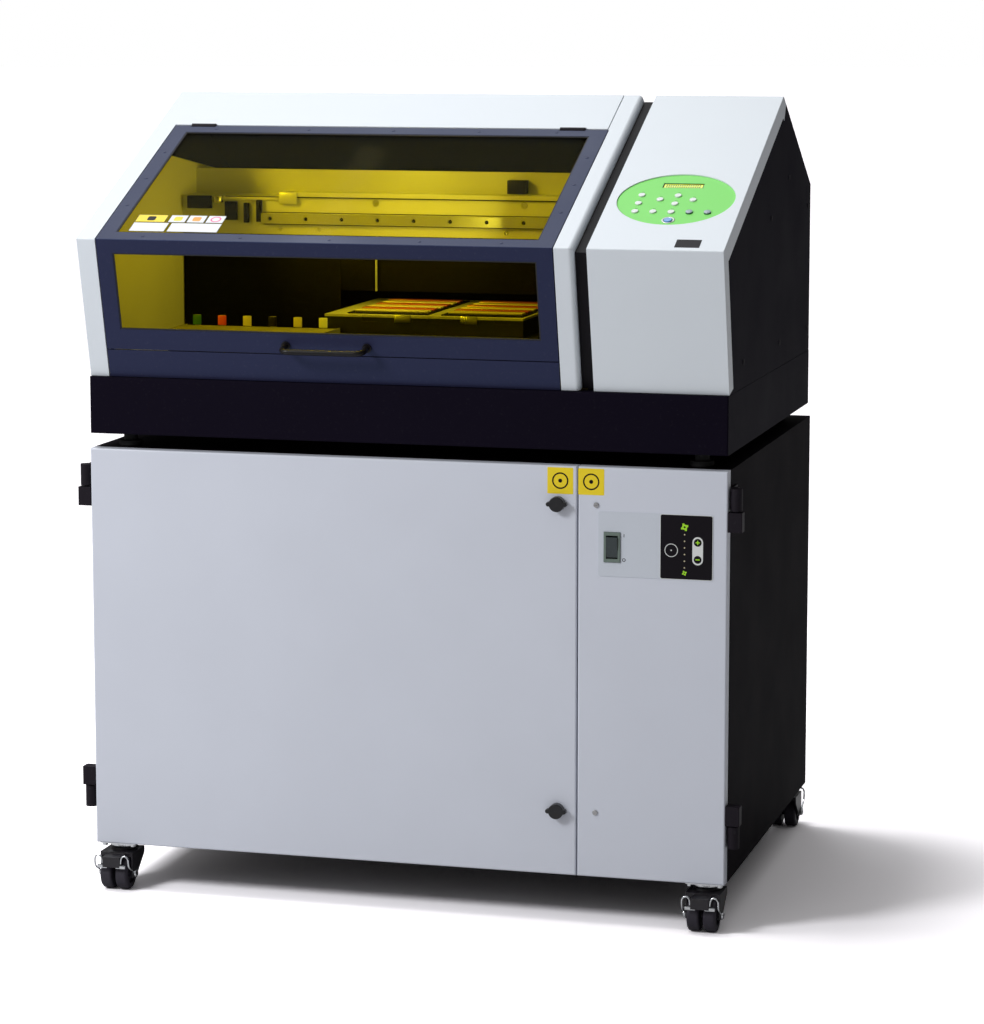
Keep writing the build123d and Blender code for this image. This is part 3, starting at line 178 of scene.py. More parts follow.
def makePaintGrain():
    tree, inside, outside = newGroup(
        "paintGrain",
        [("Scale", "NodeSocketFloat", 900.0), ("Wave", "NodeSocketFloat", 0.2)],
        [("Height", "NodeSocketFloat")],
    )
    grain = noiseNode(tree, inside.outputs["Scale"], 2.0)
    wave = noiseNode(tree, 9.0, 1.0)
    total = mathNode(tree, "ADD", grain, mathNode(tree, "MULTIPLY", wave, inside.outputs["Wave"]))
    tree.links.new(total, outside.inputs["Height"])
    return tree


def makeBrushedLines():
    tree, inside, outside = newGroup(
        "brushedLines",
        [("Scale", "NodeSocketFloat", 60.0)],
        [("Height", "NodeSocketFloat")],
    )
    lines = noiseNode(tree, inside.outputs["Scale"], 3.0, stretch=(0.4, 14.0, 14.0))
    tree.links.new(lines, outside.inputs["Height"])
    return tree


groups = {"toneShift": makeToneShift(), "paintGrain": makePaintGrain(), "brushedLines": makeBrushedLines()}


def useGroup(tree, name, **values):
    node = tree.nodes.new("ShaderNodeGroup")
    node.node_tree = groups[name]
    for label, value in values.items():
        if isinstance(value, tuple):
            node.inputs[label].default_value = (*value[:3], 1.0)
        else:
            node.inputs[label].default_value = value
    return node


def finish(name, colour, roughness=0.5, metallic=0.0, coat=0.0, specular=0.5, tone=0.04, toneScale=6.0,
           dust=0.03, grain=900.0, grainHeight=0.00002, wave=0.2, brushed=False, edge=0.0, glow=None,
           sheen=None):
    material = bpy.data.materials.new(name)
    material.use_nodes = True
    tree = material.node_tree
    shader = tree.nodes["Principled BSDF"]
    toned = useGroup(tree, "toneShift", Colour=colour, Amount=tone, Scale=toneScale,
                     Roughness=roughness, Dust=dust)
    tree.links.new(toned.outputs["Colour"], shader.inputs["Base Color"])
    tree.links.new(toned.outputs["Roughness"], shader.inputs["Roughness"])
    shader.inputs["Metallic"].default_value = metallic
    shader.inputs["Coat Weight"].default_value = coat
    shader.inputs["Coat Roughness"].default_value = 0.18
    shader.inputs["Specular IOR Level"].default_value = specular
    if sheen:
        shader.inputs["Specular Tint"].default_value = (*sheen, 1.0)
    bump = tree.nodes.new("ShaderNodeBump")
    bump.inputs["Distance"].default_value = 1.0
    bump.inputs["Strength"].default_value = 1.0
    if brushed:
        surface = useGroup(tree, "brushedLines", Scale=grain)
    else:
        surface = useGroup(tree, "paintGrain", Scale=grain, Wave=wave)
    height = mathNode(tree, "MULTIPLY", surface.outputs["Height"], grainHeight)
    tree.links.new(height, bump.inputs["Height"])
    if edge:
        rounded = tree.nodes.new("ShaderNodeBevel")
        rounded.samples = 4
        rounded.inputs["Radius"].default_value = edge
        tree.links.new(rounded.outputs["Normal"], bump.inputs["Normal"])
    tree.links.new(bump.outputs["Normal"], shader.inputs["Normal"])
    if glow:
        shader.inputs["Emission Color"].default_value = (*glow[0], 1.0)
        shader.inputs["Emission Strength"].default_value = glow[1]
    return material


def slabMask(tree, axis, low, high):
    coordinate = tree.nodes.new("ShaderNodeTexCoord").outputs["Object"]
    split = tree.nodes.new("ShaderNodeSeparateXYZ")
    tree.links.new(coordinate, split.inputs[0])
    above = mathNode(tree, "GREATER_THAN", split.outputs[axis], low)
    below = mathNode(tree, "LESS_THAN", split.outputs[axis], high)
    return mathNode(tree, "MULTIPLY", above, below)


def paintZone(material, colour, axis, low, high):
    tree = material.node_tree
    shader = tree.nodes["Principled BSDF"]
    before = shader.inputs["Base Color"].links[0].from_socket
    mask = slabMask(tree, axis, low, high)
    tree.links.new(mixColour(tree, mask, before, colour), shader.inputs["Base Color"])


amber = {"colour": (0.90, 0.78, 0.050), "roughness": 0.03, "ior": 1.035, "passing": (0.95, 0.88, 0.35, 1.0)}


# tinted sheet that lets the studio light through without noise
def makeAmber(name):
    material = bpy.data.materials.new(name)
    material.use_nodes = True
    tree = material.node_tree
    shader = tree.nodes["Principled BSDF"]
    toned = useGroup(tree, "toneShift", Colour=amber["colour"], Amount=0.02, Scale=3.0,
                     Roughness=amber["roughness"], Dust=0.0)
    tree.links.new(toned.outputs["Colour"], shader.inputs["Base Color"])
    shader.inputs["Roughness"].default_value = amber["roughness"]
    shader.inputs["Transmission Weight"].default_value = 1.0
    shader.inputs["IOR"].default_value = amber["ior"]
    passing = tree.nodes.new("ShaderNodeBsdfTransparent")
    passing.inputs["Color"].default_value = amber["passing"]
    path = tree.nodes.new("ShaderNodeLightPath")
    mix = tree.nodes.new("ShaderNodeMixShader")
    either = mathNode(tree, "MAXIMUM", path.outputs["Is Shadow Ray"], path.outputs["Is Diffuse Ray"])
    tree.links.new(either, mix.inputs[0])
    tree.links.new(shader.outputs[0], mix.inputs[1])
    tree.links.new(passing.outputs[0], mix.inputs[2])
    tree.links.new(mix.outputs[0], tree.nodes["Material Output"].inputs["Surface"])
    return material


finishes = {
    "coverWhite": dict(colour=(0.76, 0.81, 0.86), roughness=0.42, coat=0.15, tone=0.02, dust=0.01,
        edge=0.0012),
    "doorWhite": dict(colour=(0.70, 0.73, 0.815), roughness=0.44, coat=0.1, tone=0.025, dust=0.01,
        edge=0.0012),
    "coverBlack": dict(colour=(0.0062, 0.0045, 0.0110), roughness=0.58, specular=0.025, tone=0.06,
        dust=0.015, grain=1400.0, grainHeight=0.00003, edge=0.001),
    "cabinetBlack": dict(colour=(0.0056, 0.0038, 0.0064), roughness=0.60, specular=0.02, tone=0.06,
        dust=0.015, grain=1400.0, grainHeight=0.00003, edge=0.001),
    "lidSlate": dict(colour=(0.020, 0.019, 0.050), roughness=0.46, specular=0.46,
        sheen=(0.36, 0.56, 1.0), tone=0.05, grain=1100.0, edge=0.0008),
    "innerBlack": dict(colour=(0.004, 0.003, 0.003), roughness=0.6, specular=0.08, tone=0.06, dust=0.004),
    "beamAluminium": dict(colour=(0.62, 0.62, 0.60), roughness=0.42, metallic=0.25, tone=0.05,
        brushed=True, grain=40.0, grainHeight=0.00004),
    "railSteel": dict(colour=(0.55, 0.55, 0.55), roughness=0.3, metallic=0.9, brushed=True, grain=60.0,
        grainHeight=0.00003),
    "carriageGrey": dict(colour=(0.06, 0.063, 0.07), roughness=0.55, tone=0.06, grain=1800.0,
        grainHeight=0.00006),
    "panelGreen": dict(colour=(0.245, 0.79, 0.165), roughness=0.42, specular=0.3, tone=0.02, dust=0.01),
    "boardGreen": dict(colour=(0.02, 0.12, 0.05), roughness=0.5, tone=0.08),
    "keyWhite": dict(colour=(0.80, 0.83, 0.82), roughness=0.35, coat=0.3, tone=0.02, dust=0.01),
    "keyBlue": dict(colour=(0.10, 0.30, 0.72), roughness=0.3, coat=0.5, dust=0.01),
    "handleBlack": dict(colour=(0.008, 0.007, 0.008), roughness=0.34, specular=0.25, tone=0.03),
    "hingeBlack": dict(colour=(0.012, 0.009, 0.014), roughness=0.5, specular=0.15, tone=0.05, edge=0.0006),
    "latchBlack": dict(colour=(0.008, 0.008, 0.010), roughness=0.32, edge=0.0006),
    "steel": dict(colour=(0.50, 0.50, 0.51), roughness=0.28, metallic=1.0, tone=0.06, brushed=True,
        grain=120.0),
    "chrome": dict(colour=(0.72, 0.74, 0.76), roughness=0.14, metallic=1.0, tone=0.03, dust=0.02),
    "galvanised": dict(colour=(0.42, 0.44, 0.45), roughness=0.4, metallic=0.8, tone=0.15, toneScale=60.0),
    "overlayGrey": dict(colour=(0.64, 0.68, 0.75), roughness=0.5, tone=0.03),
    "switchGrey": dict(colour=(0.16, 0.21, 0.18), roughness=0.42),
    "rockerBlack": dict(colour=(0.012, 0.026, 0.028), roughness=0.25, coat=0.5, tone=0.03),
    "footRubber": dict(colour=(0.012, 0.012, 0.012), roughness=0.8, tone=0.1, grain=500.0,
        grainHeight=0.0001),
    "inkPlastic": dict(colour=(0.30, 0.29, 0.26), roughness=0.4, tone=0.05),
    "trayDark": dict(colour=(0.15, 0.14, 0.11), roughness=0.5, tone=0.06),
    "filterMedia": dict(colour=(0.55, 0.57, 0.58), roughness=0.9, tone=0.15, toneScale=14.0, grain=300.0,
        grainHeight=0.0004),
    "tyreBlack": dict(colour=(0.022, 0.018, 0.030), roughness=0.55, tone=0.08, grain=700.0,
        grainHeight=0.00006),
    "hoodBlack": dict(colour=(0.010, 0.008, 0.012), roughness=0.38, coat=0.2, tone=0.05, edge=0.0008),
    "inkBlack": dict(colour=(0.006, 0.004, 0.007), roughness=0.42, specular=0.15, tone=0.03, dust=0.0),
    "lcdGreen": dict(colour=(0.62, 0.72, 0.02), roughness=0.25, coat=0.5, tone=0.03, dust=0.0,
        glow=((0.75, 0.85, 0.02), 0.25)),
    "lampLime": dict(colour=(0.42, 0.85, 0.02), roughness=0.35, tone=0.02, dust=0.0),
    "lampGrey": dict(colour=(0.33, 0.40, 0.46), roughness=0.3, coat=0.4, dust=0.0),
    "tagRed": dict(colour=(0.65, 0.05, 0.05), roughness=0.4, tone=0.03),
    "tagGreen": dict(colour=(0.04, 0.20, 0.07), roughness=0.4, tone=0.03),
    "sampleOrange": dict(colour=(0.42, 0.07, 0.03), roughness=0.35, coat=0.3, tone=0.05),
    "sampleCream": dict(colour=(0.62, 0.55, 0.36), roughness=0.35, coat=0.3, tone=0.05),
    # black of real rubber, also used for the painted shade strips along the rail and the belt's painted
    # shadow line under the beam's cap
    "rubberBlack": dict(colour=(0.010, 0.010, 0.011), roughness=0.65, tone=0.06),
    "sideFramePaint": dict(colour=(0.86, 0.83, 0.76), roughness=0.55, specular=0.15, tone=0.05),
    "tablePaint": dict(colour=(0.55, 0.55, 0.53), roughness=0.4, metallic=0.5, brushed=True, grain=50.0,
        grainHeight=0.00003),
}
labelColours = {"labelYellow": (0.95, 0.72, 0.01), "labelWhite": (0.80, 0.82, 0.80),
                "labelOrange": (0.85, 0.36, 0.04), "labelPink": (0.80, 0.12, 0.35)}
for name, colour in labelColours.items():
    finishes[name] = dict(colour=colour, roughness=0.4, tone=0.02, dust=0.0)
looks = {name: finish(name, **settings) for name, settings in finishes.items()}
looks["amberAcrylic"] = makeAmber("amberAcrylic")

# parts of a node that are painted dark: along which axis, from where to where
zones = {
    "sideFramePaint": {"colour": (0.004, 0.003, 0.005), "axis": "X", "low": 0.26, "high": 0.60},
    "tablePaint": {"colour": (0.012, 0.011, 0.010), "axis": "Z", "low": 0.0, "high": tableHigh.z - 0.0035},
}
for name, zone in zones.items():
    paintZone(looks[name], **zone)
print("finishes made:", len(looks))

# node names, or how they begin, by look; the longest that fits a node decides
nodeLooks = {
    "cabinetBlack": "cabinet_body",
    "innerBlack": "cabinet_bulkhead table_saddle",
    "filterMedia": "filter_cartridges",
    "galvanised": "blower_scroll hose_collars",
    "rubberBlack": "blower_impeller drive_motors",
    "chrome": "castor_mounts",
    "hingeBlack": "fixed_hinge_leaves filter_door_hinges service_door_hinges lid_hinges",
    "doorWhite": "filter_door service_door",
    "latchBlack": "filter_latch_upper filter_latch_lower",
    "steel": "service_door_screws",
    "overlayGrey": "airflow_panel",
    "switchGrey": "power_switch_frame",
    "rockerBlack": "power_rocker",
    "coverBlack": "base_chassis left_side_cover right_side_cover rear_cover",
    "footRubber": "machine_feet",
    "coverWhite": "main_cover cheek_cover control_cover",
    "lidSlate": "front_apron lid_frame",
    "panelGreen": "key_panel",
    "boardGreen": "display_board",
    "amberAcrylic": "lid_windows",
    "handleBlack": "lid_handle",
    "beamAluminium": "gantry_beam",
    "railSteel": "linear_rails",
    "carriageGrey": "print_carriage",
    "tablePaint": "work_table",
    "sideFramePaint": "side_frames",
    "trayDark": "ink_bay",
    "inkPlastic": "ink_cartridges",
    "keyBlue": "key_power",
    "hoodBlack": "castor_fork",
    "tyreBlack": "castor_wheels",
    "keyWhite": "key_",
}
lookOf = {start: look for look, starts in nodeLooks.items() for start in starts.split()}
for nodeName, node in frame["nodes"].items():
    best = max((start for start in lookOf if nodeName.startswith(start)), key=len)
    for materialSlot in node.material_slots:
        materialSlot.material = looks[lookOf[best]]


def deselectAll():
    if bpy.context.object and bpy.context.object.mode != "OBJECT":
        bpy.ops.object.mode_set(mode="OBJECT")
    bpy.ops.object.select_all(action="DESELECT")


def applyPlace(piece, matrix=None):
    if matrix is not None:
        piece.matrix_world = matrix @ piece.matrix_world
    bpy.ops.object.transform_apply(location=True, rotation=True, scale=True)


softening = {"segments": 2, "angle": 30}


def bevelEdges(piece, width):
    if width <= 0:
        return
    modifier = piece.modifiers.new("softEdges", "BEVEL")
    modifier.width = width
    modifier.segments = softening["segments"]
    modifier.limit_method = "ANGLE"
    modifier.angle_limit = math.radians(softening["angle"])
    bpy.ops.object.modifier_apply(modifier=modifier.name)


def smooth(angle=35):
    bpy.ops.object.shade_smooth_by_angle(angle=math.radians(angle))


# gives a flat face in edit mode its thickness; a hole leaves a frame of that width
def thicken(thickness, hole):
    bpy.ops.mesh.select_all(action="SELECT")
    if hole:
        bpy.ops.mesh.inset(thickness=hole)
        bpy.ops.mesh.delete(type="FACE")
        bpy.ops.mesh.select_all(action="SELECT")
    bpy.ops.mesh.extrude_region_move(TRANSFORM_OT_translate={"value": (0, 0, thickness)})
    bpy.ops.mesh.select_all(action="SELECT")
    bpy.ops.mesh.normals_make_consistent(inside=False)
    bpy.ops.object.mode_set(mode="OBJECT")


def plate(name, place, x, y, width, height, thickness, base=0.0, corner=0.0, edge=0.0, hole=0.0):
    deselectAll()
    bpy.ops.mesh.primitive_plane_add(size=1, location=(x, y, base))
    piece = bpy.context.object
    piece.name = name
    piece.scale = (width, height, 1)
    bpy.ops.object.transform_apply(location=True, scale=True)
    bpy.ops.object.mode_set(mode="EDIT")
    bpy.ops.mesh.select_all(action="SELECT")
    if corner:
        bpy.ops.mesh.bevel(affect="VERTICES", offset=corner, segments=5)
    thicken(thickness, hole)
    bevelEdges(piece, edge)
    applyPlace(piece, place)
    return piece


def disc(name, place, x, y, radius, thickness, base=0.0, edge=0.0, dish=0.0, rim=0.25, sides=32):
    deselectAll()
    bpy.ops.mesh.primitive_cylinder_add(vertices=sides, radius=radius, depth=thickness,
                                        location=(x, y, base + thickness / 2))
    piece = bpy.context.object
    piece.name = name
    bpy.ops.object.transform_apply(location=True)
    if dish:
        selectFaces(piece, lambda centre, normal: normal.z > 0.9)
        bpy.ops.object.mode_set(mode="EDIT")
        bpy.ops.mesh.inset(thickness=radius * rim)
        bpy.ops.transform.translate(value=(0, 0, -dish))
        bpy.ops.object.mode_set(mode="OBJECT")
    bevelEdges(piece, edge)
    applyPlace(piece, place)
    smooth()
    return piece


def ring(name, place, x, y, radius, width, thickness, base=0.0, edge=0.0, sides=36):
    deselectAll()
    bpy.ops.mesh.primitive_circle_add(vertices=sides, radius=radius, fill_type="NGON", location=(x, y, base))
    piece = bpy.context.object
    piece.name = name
    bpy.ops.object.transform_apply(location=True)
    bpy.ops.object.mode_set(mode="EDIT")
    thicken(thickness, width)
    bevelEdges(piece, edge)
    applyPlace(piece, place)
    smooth()
    return piece


def selectFaces(piece, wanted):
    bpy.ops.object.mode_set(mode="EDIT")
    bpy.ops.mesh.select_mode(type="FACE")
    bpy.ops.mesh.select_all(action="DESELECT")
    bpy.ops.object.mode_set(mode="OBJECT")
    for face in piece.data.polygons:
        face.select = wanted(face.center, face.normal)


def block(name, low, high, edge=0.001, place=None):
    deselectAll()
    low, high = Vector(low), Vector(high)
    bpy.ops.mesh.primitive_cube_add(size=1, location=(low + high) / 2)
    piece = bpy.context.object
    piece.name = name
    piece.scale = high - low
    bpy.ops.object.transform_apply(location=True, scale=True)
    bevelEdges(piece, edge)
    applyPlace(piece, place)
    smooth()
    return piece


def wire(name, points, radius):
    deselectAll()
    bpy.ops.curve.primitive_nurbs_path_add()
    piece = bpy.context.object
    piece.name = name
    curve = piece.data
    curve.splines.clear()
    spline = curve.splines.new("NURBS")
    spline.points.add(len(points) - 1)
    for point, place in zip(spline.points, points):
        point.co = (*place, 1.0)
    spline.order_u = 3
    spline.use_endpoint_u = True
    spline.resolution_u = 6
    curve.bevel_depth = radius
    curve.bevel_resolution = 4
    curve.use_fill_caps = True
    bpy.ops.object.convert(target="MESH")
    piece = bpy.context.object
    bpy.ops.object.mode_set(mode="EDIT")
    bpy.ops.mesh.select_all(action="SELECT")
    bpy.ops.mesh.remove_doubles(threshold=0.00001)
    bpy.ops.mesh.normals_make_consistent(inside=False)
    bpy.ops.object.mode_set(mode="OBJECT")
    applyPlace(piece)
    smooth(50)
    return piece


def join(name, parts):
    deselectAll()
    for part in parts:
        part.select_set(True)
    bpy.context.view_layer.objects.active = parts[0]
    if len(parts) > 1:
        bpy.ops.object.join()
    piece = bpy.context.object
    piece.name = name
    return piece


def seat(piece, look, body):
    piece.data.materials.clear()
    piece.data.materials.append(looks[look])
    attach(piece, body)


def screwHead(name, place, x, y, radius, height, base=0.0):
    return disc(name, place, x, y, radius, height, base, edge=radius * 0.22, dish=height * 0.5, rim=0.5,
                sides=20)


film = 0.0001  # thickness of one printed layer

labels = {
    "size": (0.0395, 0.0395),
    "corner": 0.0015,
    "fromTop": 0.0225,
    "fromGap": {"filter_door": -0.0265, "service_door": 0.0207},  # middle, from the gap between the doors
    "thickness": 0.0002,
    "ring": (0.0125, 0.0022),
    "dotRadius": 0.003,
}
splitX = (doorHigh.x + serviceLow.x) / 2
labelZ = doorHigh.z - labels["fromTop"]
for body, fromGap in labels["fromGap"].items():
    labelX = splitX + fromGap
    sticker = plate(f"sticker_{body}", doorFrame, labelX, labelZ, *labels["size"], labels["thickness"],
                    corner=labels["corner"])
    seat(sticker, "labelYellow", body)
    mark = ring(f"stickerRing_{body}", doorFrame, labelX, labelZ, *labels["ring"], film,
                base=labels["thickness"])
    dot = disc(f"stickerDot_{body}", doorFrame, labelX, labelZ, labels["dotRadius"], film,
               base=labels["thickness"])
    seat(join(f"stickerMark_{body}", [mark, dot]), "inkBlack", body)

overlay = {
    "darkWidth": 0.0795, "corner": 0.003,
    "border": 0.0008, "fieldCorner": 0.0025,
    "fanX": 0.0425, "fanTop": (0.0185, 0.0056), "fanBottom": (0.0100, 0.0036),  # inset, reach
    "bladeTurn": 25, "bladeCorner": 0.0004,
    "lampCount": 6, "lampTop": 0.0295, "lampPitch": 0.0099, "lampRadius": 0.0011,
    "capsuleX": 0.0227, "capsuleDrop": 0.0050, "capsule": (0.0160, 0.0420), "capsuleCorner": 0.0078,
    "padGap": 0.0127, "padRadius": 0.0058, "signLength": 0.0062, "signWidth": 0.0016,
    "filterX": 0.0625, "filterDrop": 0.0052, "filterRing": (0.0100, 0.0010), "filterDot": 0.0011,
}
panelMidZ = (overlayLow.z + overlayHigh.z) / 2
overlayHeight = overlayHigh.z - overlayLow.z
face = doorLow.y - overlayLow.y  # how far the overlay stands off the door
darkMidX = overlayHigh.x - overlay["darkWidth"] / 2
white = plate("overlayEdge", doorFrame, darkMidX, panelMidZ, overlay["darkWidth"], overlayHeight, film,
              base=face, corner=overlay["corner"])
seat(white, "labelWhite", "service_door")
dark = plate("overlayField", doorFrame, darkMidX, panelMidZ, overlay["darkWidth"] - 2 * overlay["border"],
             overlayHeight - 2 * overlay["border"], film, base=face + film, corner=overlay["fieldCorner"])
seat(dark, "inkBlack", "service_door")

artBase = face + 2 * film
fanX = overlayHigh.x - overlay["fanX"]
parts = []
for fanZ, reach in ((overlayHigh.z - overlay["fanTop"][0], overlay["fanTop"][1]),
                    (overlayLow.z + overlay["fanBottom"][0], overlay["fanBottom"][1])):
    parts.append(ring("fanHub", doorFrame, fanX, fanZ, reach * 0.72, reach * 0.42, film,
                      base=artBase, sides=12))
    for turn in range(4):  # square blade tips round the hub
        angle = math.radians(90 * turn + overlay["bladeTurn"])
        parts.append(plate("fanBlade", doorFrame, fanX + math.cos(angle) * reach * 0.78,
                           fanZ + math.sin(angle) * reach * 0.78, reach * 0.55, reach * 0.55, film,
                           base=artBase + film / 2, corner=overlay["bladeCorner"]))
seat(join("fanIcons", parts), "lampLime", "service_door")
lampTop = overlayHigh.z - overlay["lampTop"]
parts = [disc("speedLamp", doorFrame, fanX, lampTop - n * overlay["lampPitch"], overlay["lampRadius"],
              3 * film, base=artBase, edge=film, sides=16) for n in range(overlay["lampCount"])]
seat(join("speedLamps", parts), "sampleCream", "service_door")

capsuleX = overlayHigh.x - overlay["capsuleX"]
capsuleZ = panelMidZ - overlay["capsuleDrop"]
capsule = plate("airflowCapsule", doorFrame, capsuleX, capsuleZ, *overlay["capsule"], 2 * film,
                base=artBase, corner=overlay["capsuleCorner"])
seat(capsule, "labelWhite", "service_door")
padHeights = [capsuleZ + side * overlay["padGap"] for side in (-1, 1)]
signLength, signWidth = overlay["signLength"], overlay["signWidth"]
parts = [disc("airflowPad", doorFrame, capsuleX, z, overlay["padRadius"], 3 * film,
              base=artBase + 2 * film, edge=film) for z in padHeights]
seat(join("airflowPads", parts), "inkBlack", "service_door")
parts = [plate("padBar", doorFrame, capsuleX, z, signLength, signWidth, film,
               base=artBase + 5 * film) for z in padHeights]
parts.append(plate("padBar", doorFrame, capsuleX, padHeights[1], signWidth, signLength, 1.2 * film,
                   base=artBase + 5 * film))  # the upper one is a plus
seat(join("airflowSigns", parts), "lampLime", "service_door")

filterX = overlayHigh.x - overlay["filterX"]
filterZ = panelMidZ - overlay["filterDrop"]
parts = [ring("filterRing", doorFrame, filterX, filterZ, *overlay["filterRing"], film, base=artBase),
         disc("filterDot", doorFrame, filterX, filterZ, overlay["filterDot"], 2 * film, base=artBase,
              sides=12)]
seat(join("filterLampRing", parts), "labelWhite", "service_door")

switchMarks = {"beside": 0.0055, "on": (0.0010, 0.0046), "onDrop": 0.0045,
               "off": (0.0026, 0.0009), "offRise": 0.0040}
switchLow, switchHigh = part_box("power_switch_frame")
markX = switchHigh.x + switchMarks["beside"]
parts = [plate("onMark", doorFrame, markX, switchHigh.z - switchMarks["onDrop"], *switchMarks["on"], film,
               base=face),
         ring("offMark", doorFrame, markX, switchLow.z + switchMarks["offRise"], *switchMarks["off"], film,
              base=face, sides=20)]
seat(join("switchMarks", parts), "inkBlack", "service_door")
print("doors dressed")

lid = {
    "paneInset": 0.025,  # pane edge from the side of the lid
    "upper": (0.0230, 0.3630),
    "lower": (-0.1440, -0.0220),
    "paneFace": -0.0025,
    "seal": {"thickness": 0.0018, "hole": 0.0022, "edge": 0.0003},
}
frameLow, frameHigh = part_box("lid_frame")
paneX0, paneX1 = frameLow.x + lid["paneInset"], frameHigh.x - lid["paneInset"]
for label, place, span in (("upper", slopeFrame, lid["upper"]), ("lower", frontFrame, lid["lower"])):
    seal = plate(f"windowSeal_{label}", place, (paneX0 + paneX1) / 2, sum(span) / 2, paneX1 - paneX0,
                 span[1] - span[0], base=lid["paneFace"] + film, **lid["seal"])
    seat(seal, "rubberBlack", "lid")

# dimples of the studs that hold the panes, in rows along the borders
studs = {
    "rowUp": (0.0115, 0.3745), "rowX": (-0.395, -0.24, -0.1, 0.04, 0.165),
    "sideUp": (0.11, 0.2, 0.29), "sideInset": 0.0125,
    "radius": 0.0028, "height": 0.0003, "edge": 0.00012,
}
sideX = (frameLow.x + studs["sideInset"], frameHigh.x - studs["sideInset"])
spots = [(x, up) for up in studs["rowUp"] for x in studs["rowX"]]
spots += [(x, up) for up in studs["sideUp"] for x in sideX]
parts = [disc("stud", slopeFrame, x, up, studs["radius"], studs["height"], base=-film, edge=studs["edge"],
              sides=16) for x, up in spots]
seat(join("paneStuds", parts), "lidSlate", "lid")

windowLabels = {
    "border": 0.0018, "square": 0.013, "squareCorner": 0.003, "ring": (0.0085, 0.0024),
    "sheets": [  # x, up the slope, width, height, look, mark
        (-0.4020, 0.0730, 0.0470, 0.0220, "labelYellow", "inkBlack"),
        (-0.3590, 0.0730, 0.0265, 0.0220, "labelWhite", "labelYellow"),
        (-0.3290, 0.0730, 0.0270, 0.0220, "labelWhite", "labelOrange"),
        (-0.2985, 0.0730, 0.0270, 0.0220, "labelWhite", "labelPink"),
        (-0.3975, 0.0455, 0.0560, 0.0270, "labelWhite", None),
        (-0.3245, 0.0455, 0.0800, 0.0270, "labelWhite", None),
    ],
}
labelBase = lid["paneFace"]
for index, (x, up, width, height, look, mark) in enumerate(windowLabels["sheets"]):
    border = plate(f"windowLabelEdge_{index}", slopeFrame, x, up, width + windowLabels["border"],
                   height + windowLabels["border"], film, base=labelBase)
    seat(border, "inkBlack", "lid")
    sheet = plate(f"windowLabel_{index}", slopeFrame, x, up, width, height, film, base=labelBase + film)
    seat(sheet, look, "lid")
    if mark == "labelPink":
        spot = ring(f"windowMark_{index}", slopeFrame, x, up, *windowLabels["ring"], film,
                    base=labelBase + 2 * film, sides=24)
    elif mark:
        spot = plate(f"windowMark_{index}", slopeFrame, x, up, windowLabels["square"],
                     windowLabels["square"], film, base=labelBase + 2 * film,
                     corner=windowLabels["squareCorner"])
    if mark:
        seat(spot, mark, "lid")
print("lid dressed")

panel = {"x": 0.39725, "up": 0.159, "sink": -0.0015}
display = {
    "fromMiddle": (0.0020, 0.0465), "base": -0.0031,
    "face": (0.0595, 0.0125, 0.0005), "corner": 0.001, "edge": 0.0002,
    "columns": 16, "pitch": 0.00336, "firstX": -0.0252, "rowUp": 0.0026, "segment": (0.0020, 0.0026, 0.00005),
    "bezel": (0.0614, 0.0144, 0.0012), "bezelWidth": 0.0009,
}
screenX, screenUp = panel["x"] + display["fromMiddle"][0], panel["up"] + display["fromMiddle"][1]
screen = plate("displayFace", slopeFrame, screenX, screenUp, *display["face"], base=display["base"],
               corner=display["corner"], edge=display["edge"])
seat(screen, "lcdGreen", "housing")
segmentBase = display["base"] + display["face"][2]
parts = [plate("segment", slopeFrame, screenX + display["firstX"] + column * display["pitch"],
               screenUp + row * display["rowUp"], *display["segment"], base=segmentBase)
         for column in range(display["columns"]) for row in (-1, 1)]
seat(join("displaySegments", parts), "boardGreen", "housing")
bezel = plate("displayBezel", slopeFrame, screenX, screenUp, *display["bezel"], base=display["base"],
              hole=display["bezelWidth"])
seat(bezel, "inkBlack", "housing")

trim = {
    "markUp": 0.0098, "mark": (0.0042, 0.0009, 0.00008),
    "collarUp": 0.0002, "collar": (0.0098, 0.0026, 0.0008), "collarEdge": 0.0003,
    "lampStep": 0.0273, "lampDown": 0.039, "lamp": (0.0053, 0.0012), "lampEdge": 0.0005,
    "badge": (0.4425, 0.0210, 0.037, 0.024, 0.0003), "badgeCorner": 0.001,
}


def keyMiddle(nodeName):
    low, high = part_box(nodeName)
    return slopeFrame.inverted() @ ((low + high) / 2)


parts = []
for name in ("menu", "enter", "function", "setup", "clean", "up", "down", "left", "right"):
    middle = keyMiddle("key_" + name)
    parts.append(plate("keyMark", slopeFrame, middle.x, middle.y + trim["markUp"], *trim["mark"],
                       base=panel["sink"]))
seat(join("keyMarks", parts), "boardGreen", "housing")
middle = keyMiddle("key_power")
collar = ring("powerKeyRing", slopeFrame, middle.x, middle.y + trim["collarUp"], *trim["collar"],
              base=panel["sink"], edge=trim["collarEdge"])
seat(collar, "steel", "housing")
parts = [disc("lampCap", slopeFrame, panel["x"] + step * trim["lampStep"],
              panel["up"] - trim["lampDown"], *trim["lamp"], base=-film,
              edge=trim["lampEdge"]) for step in (1, 2)]
seat(join("statusLamps", parts), "lampGrey", "housing")
badge = plate("blankBadge", slopeFrame, *trim["badge"], corner=trim["badgeCorner"], edge=film)
seat(badge, "inkBlack", "housing")
print("panel dressed")

beamFace = beamLow.y + layout["capOverhang"]


# blocks on the beam: X span, reach in front of its face (near, far), heights above its underside
def beamBlock(name, xs, reach, heights, edge=0.001):
    return block(name, (xs[0], beamFace - reach[1], beamLow.z + heights[0]),
                 (xs[1], beamFace - reach[0], beamLow.z + heights[1]), edge)


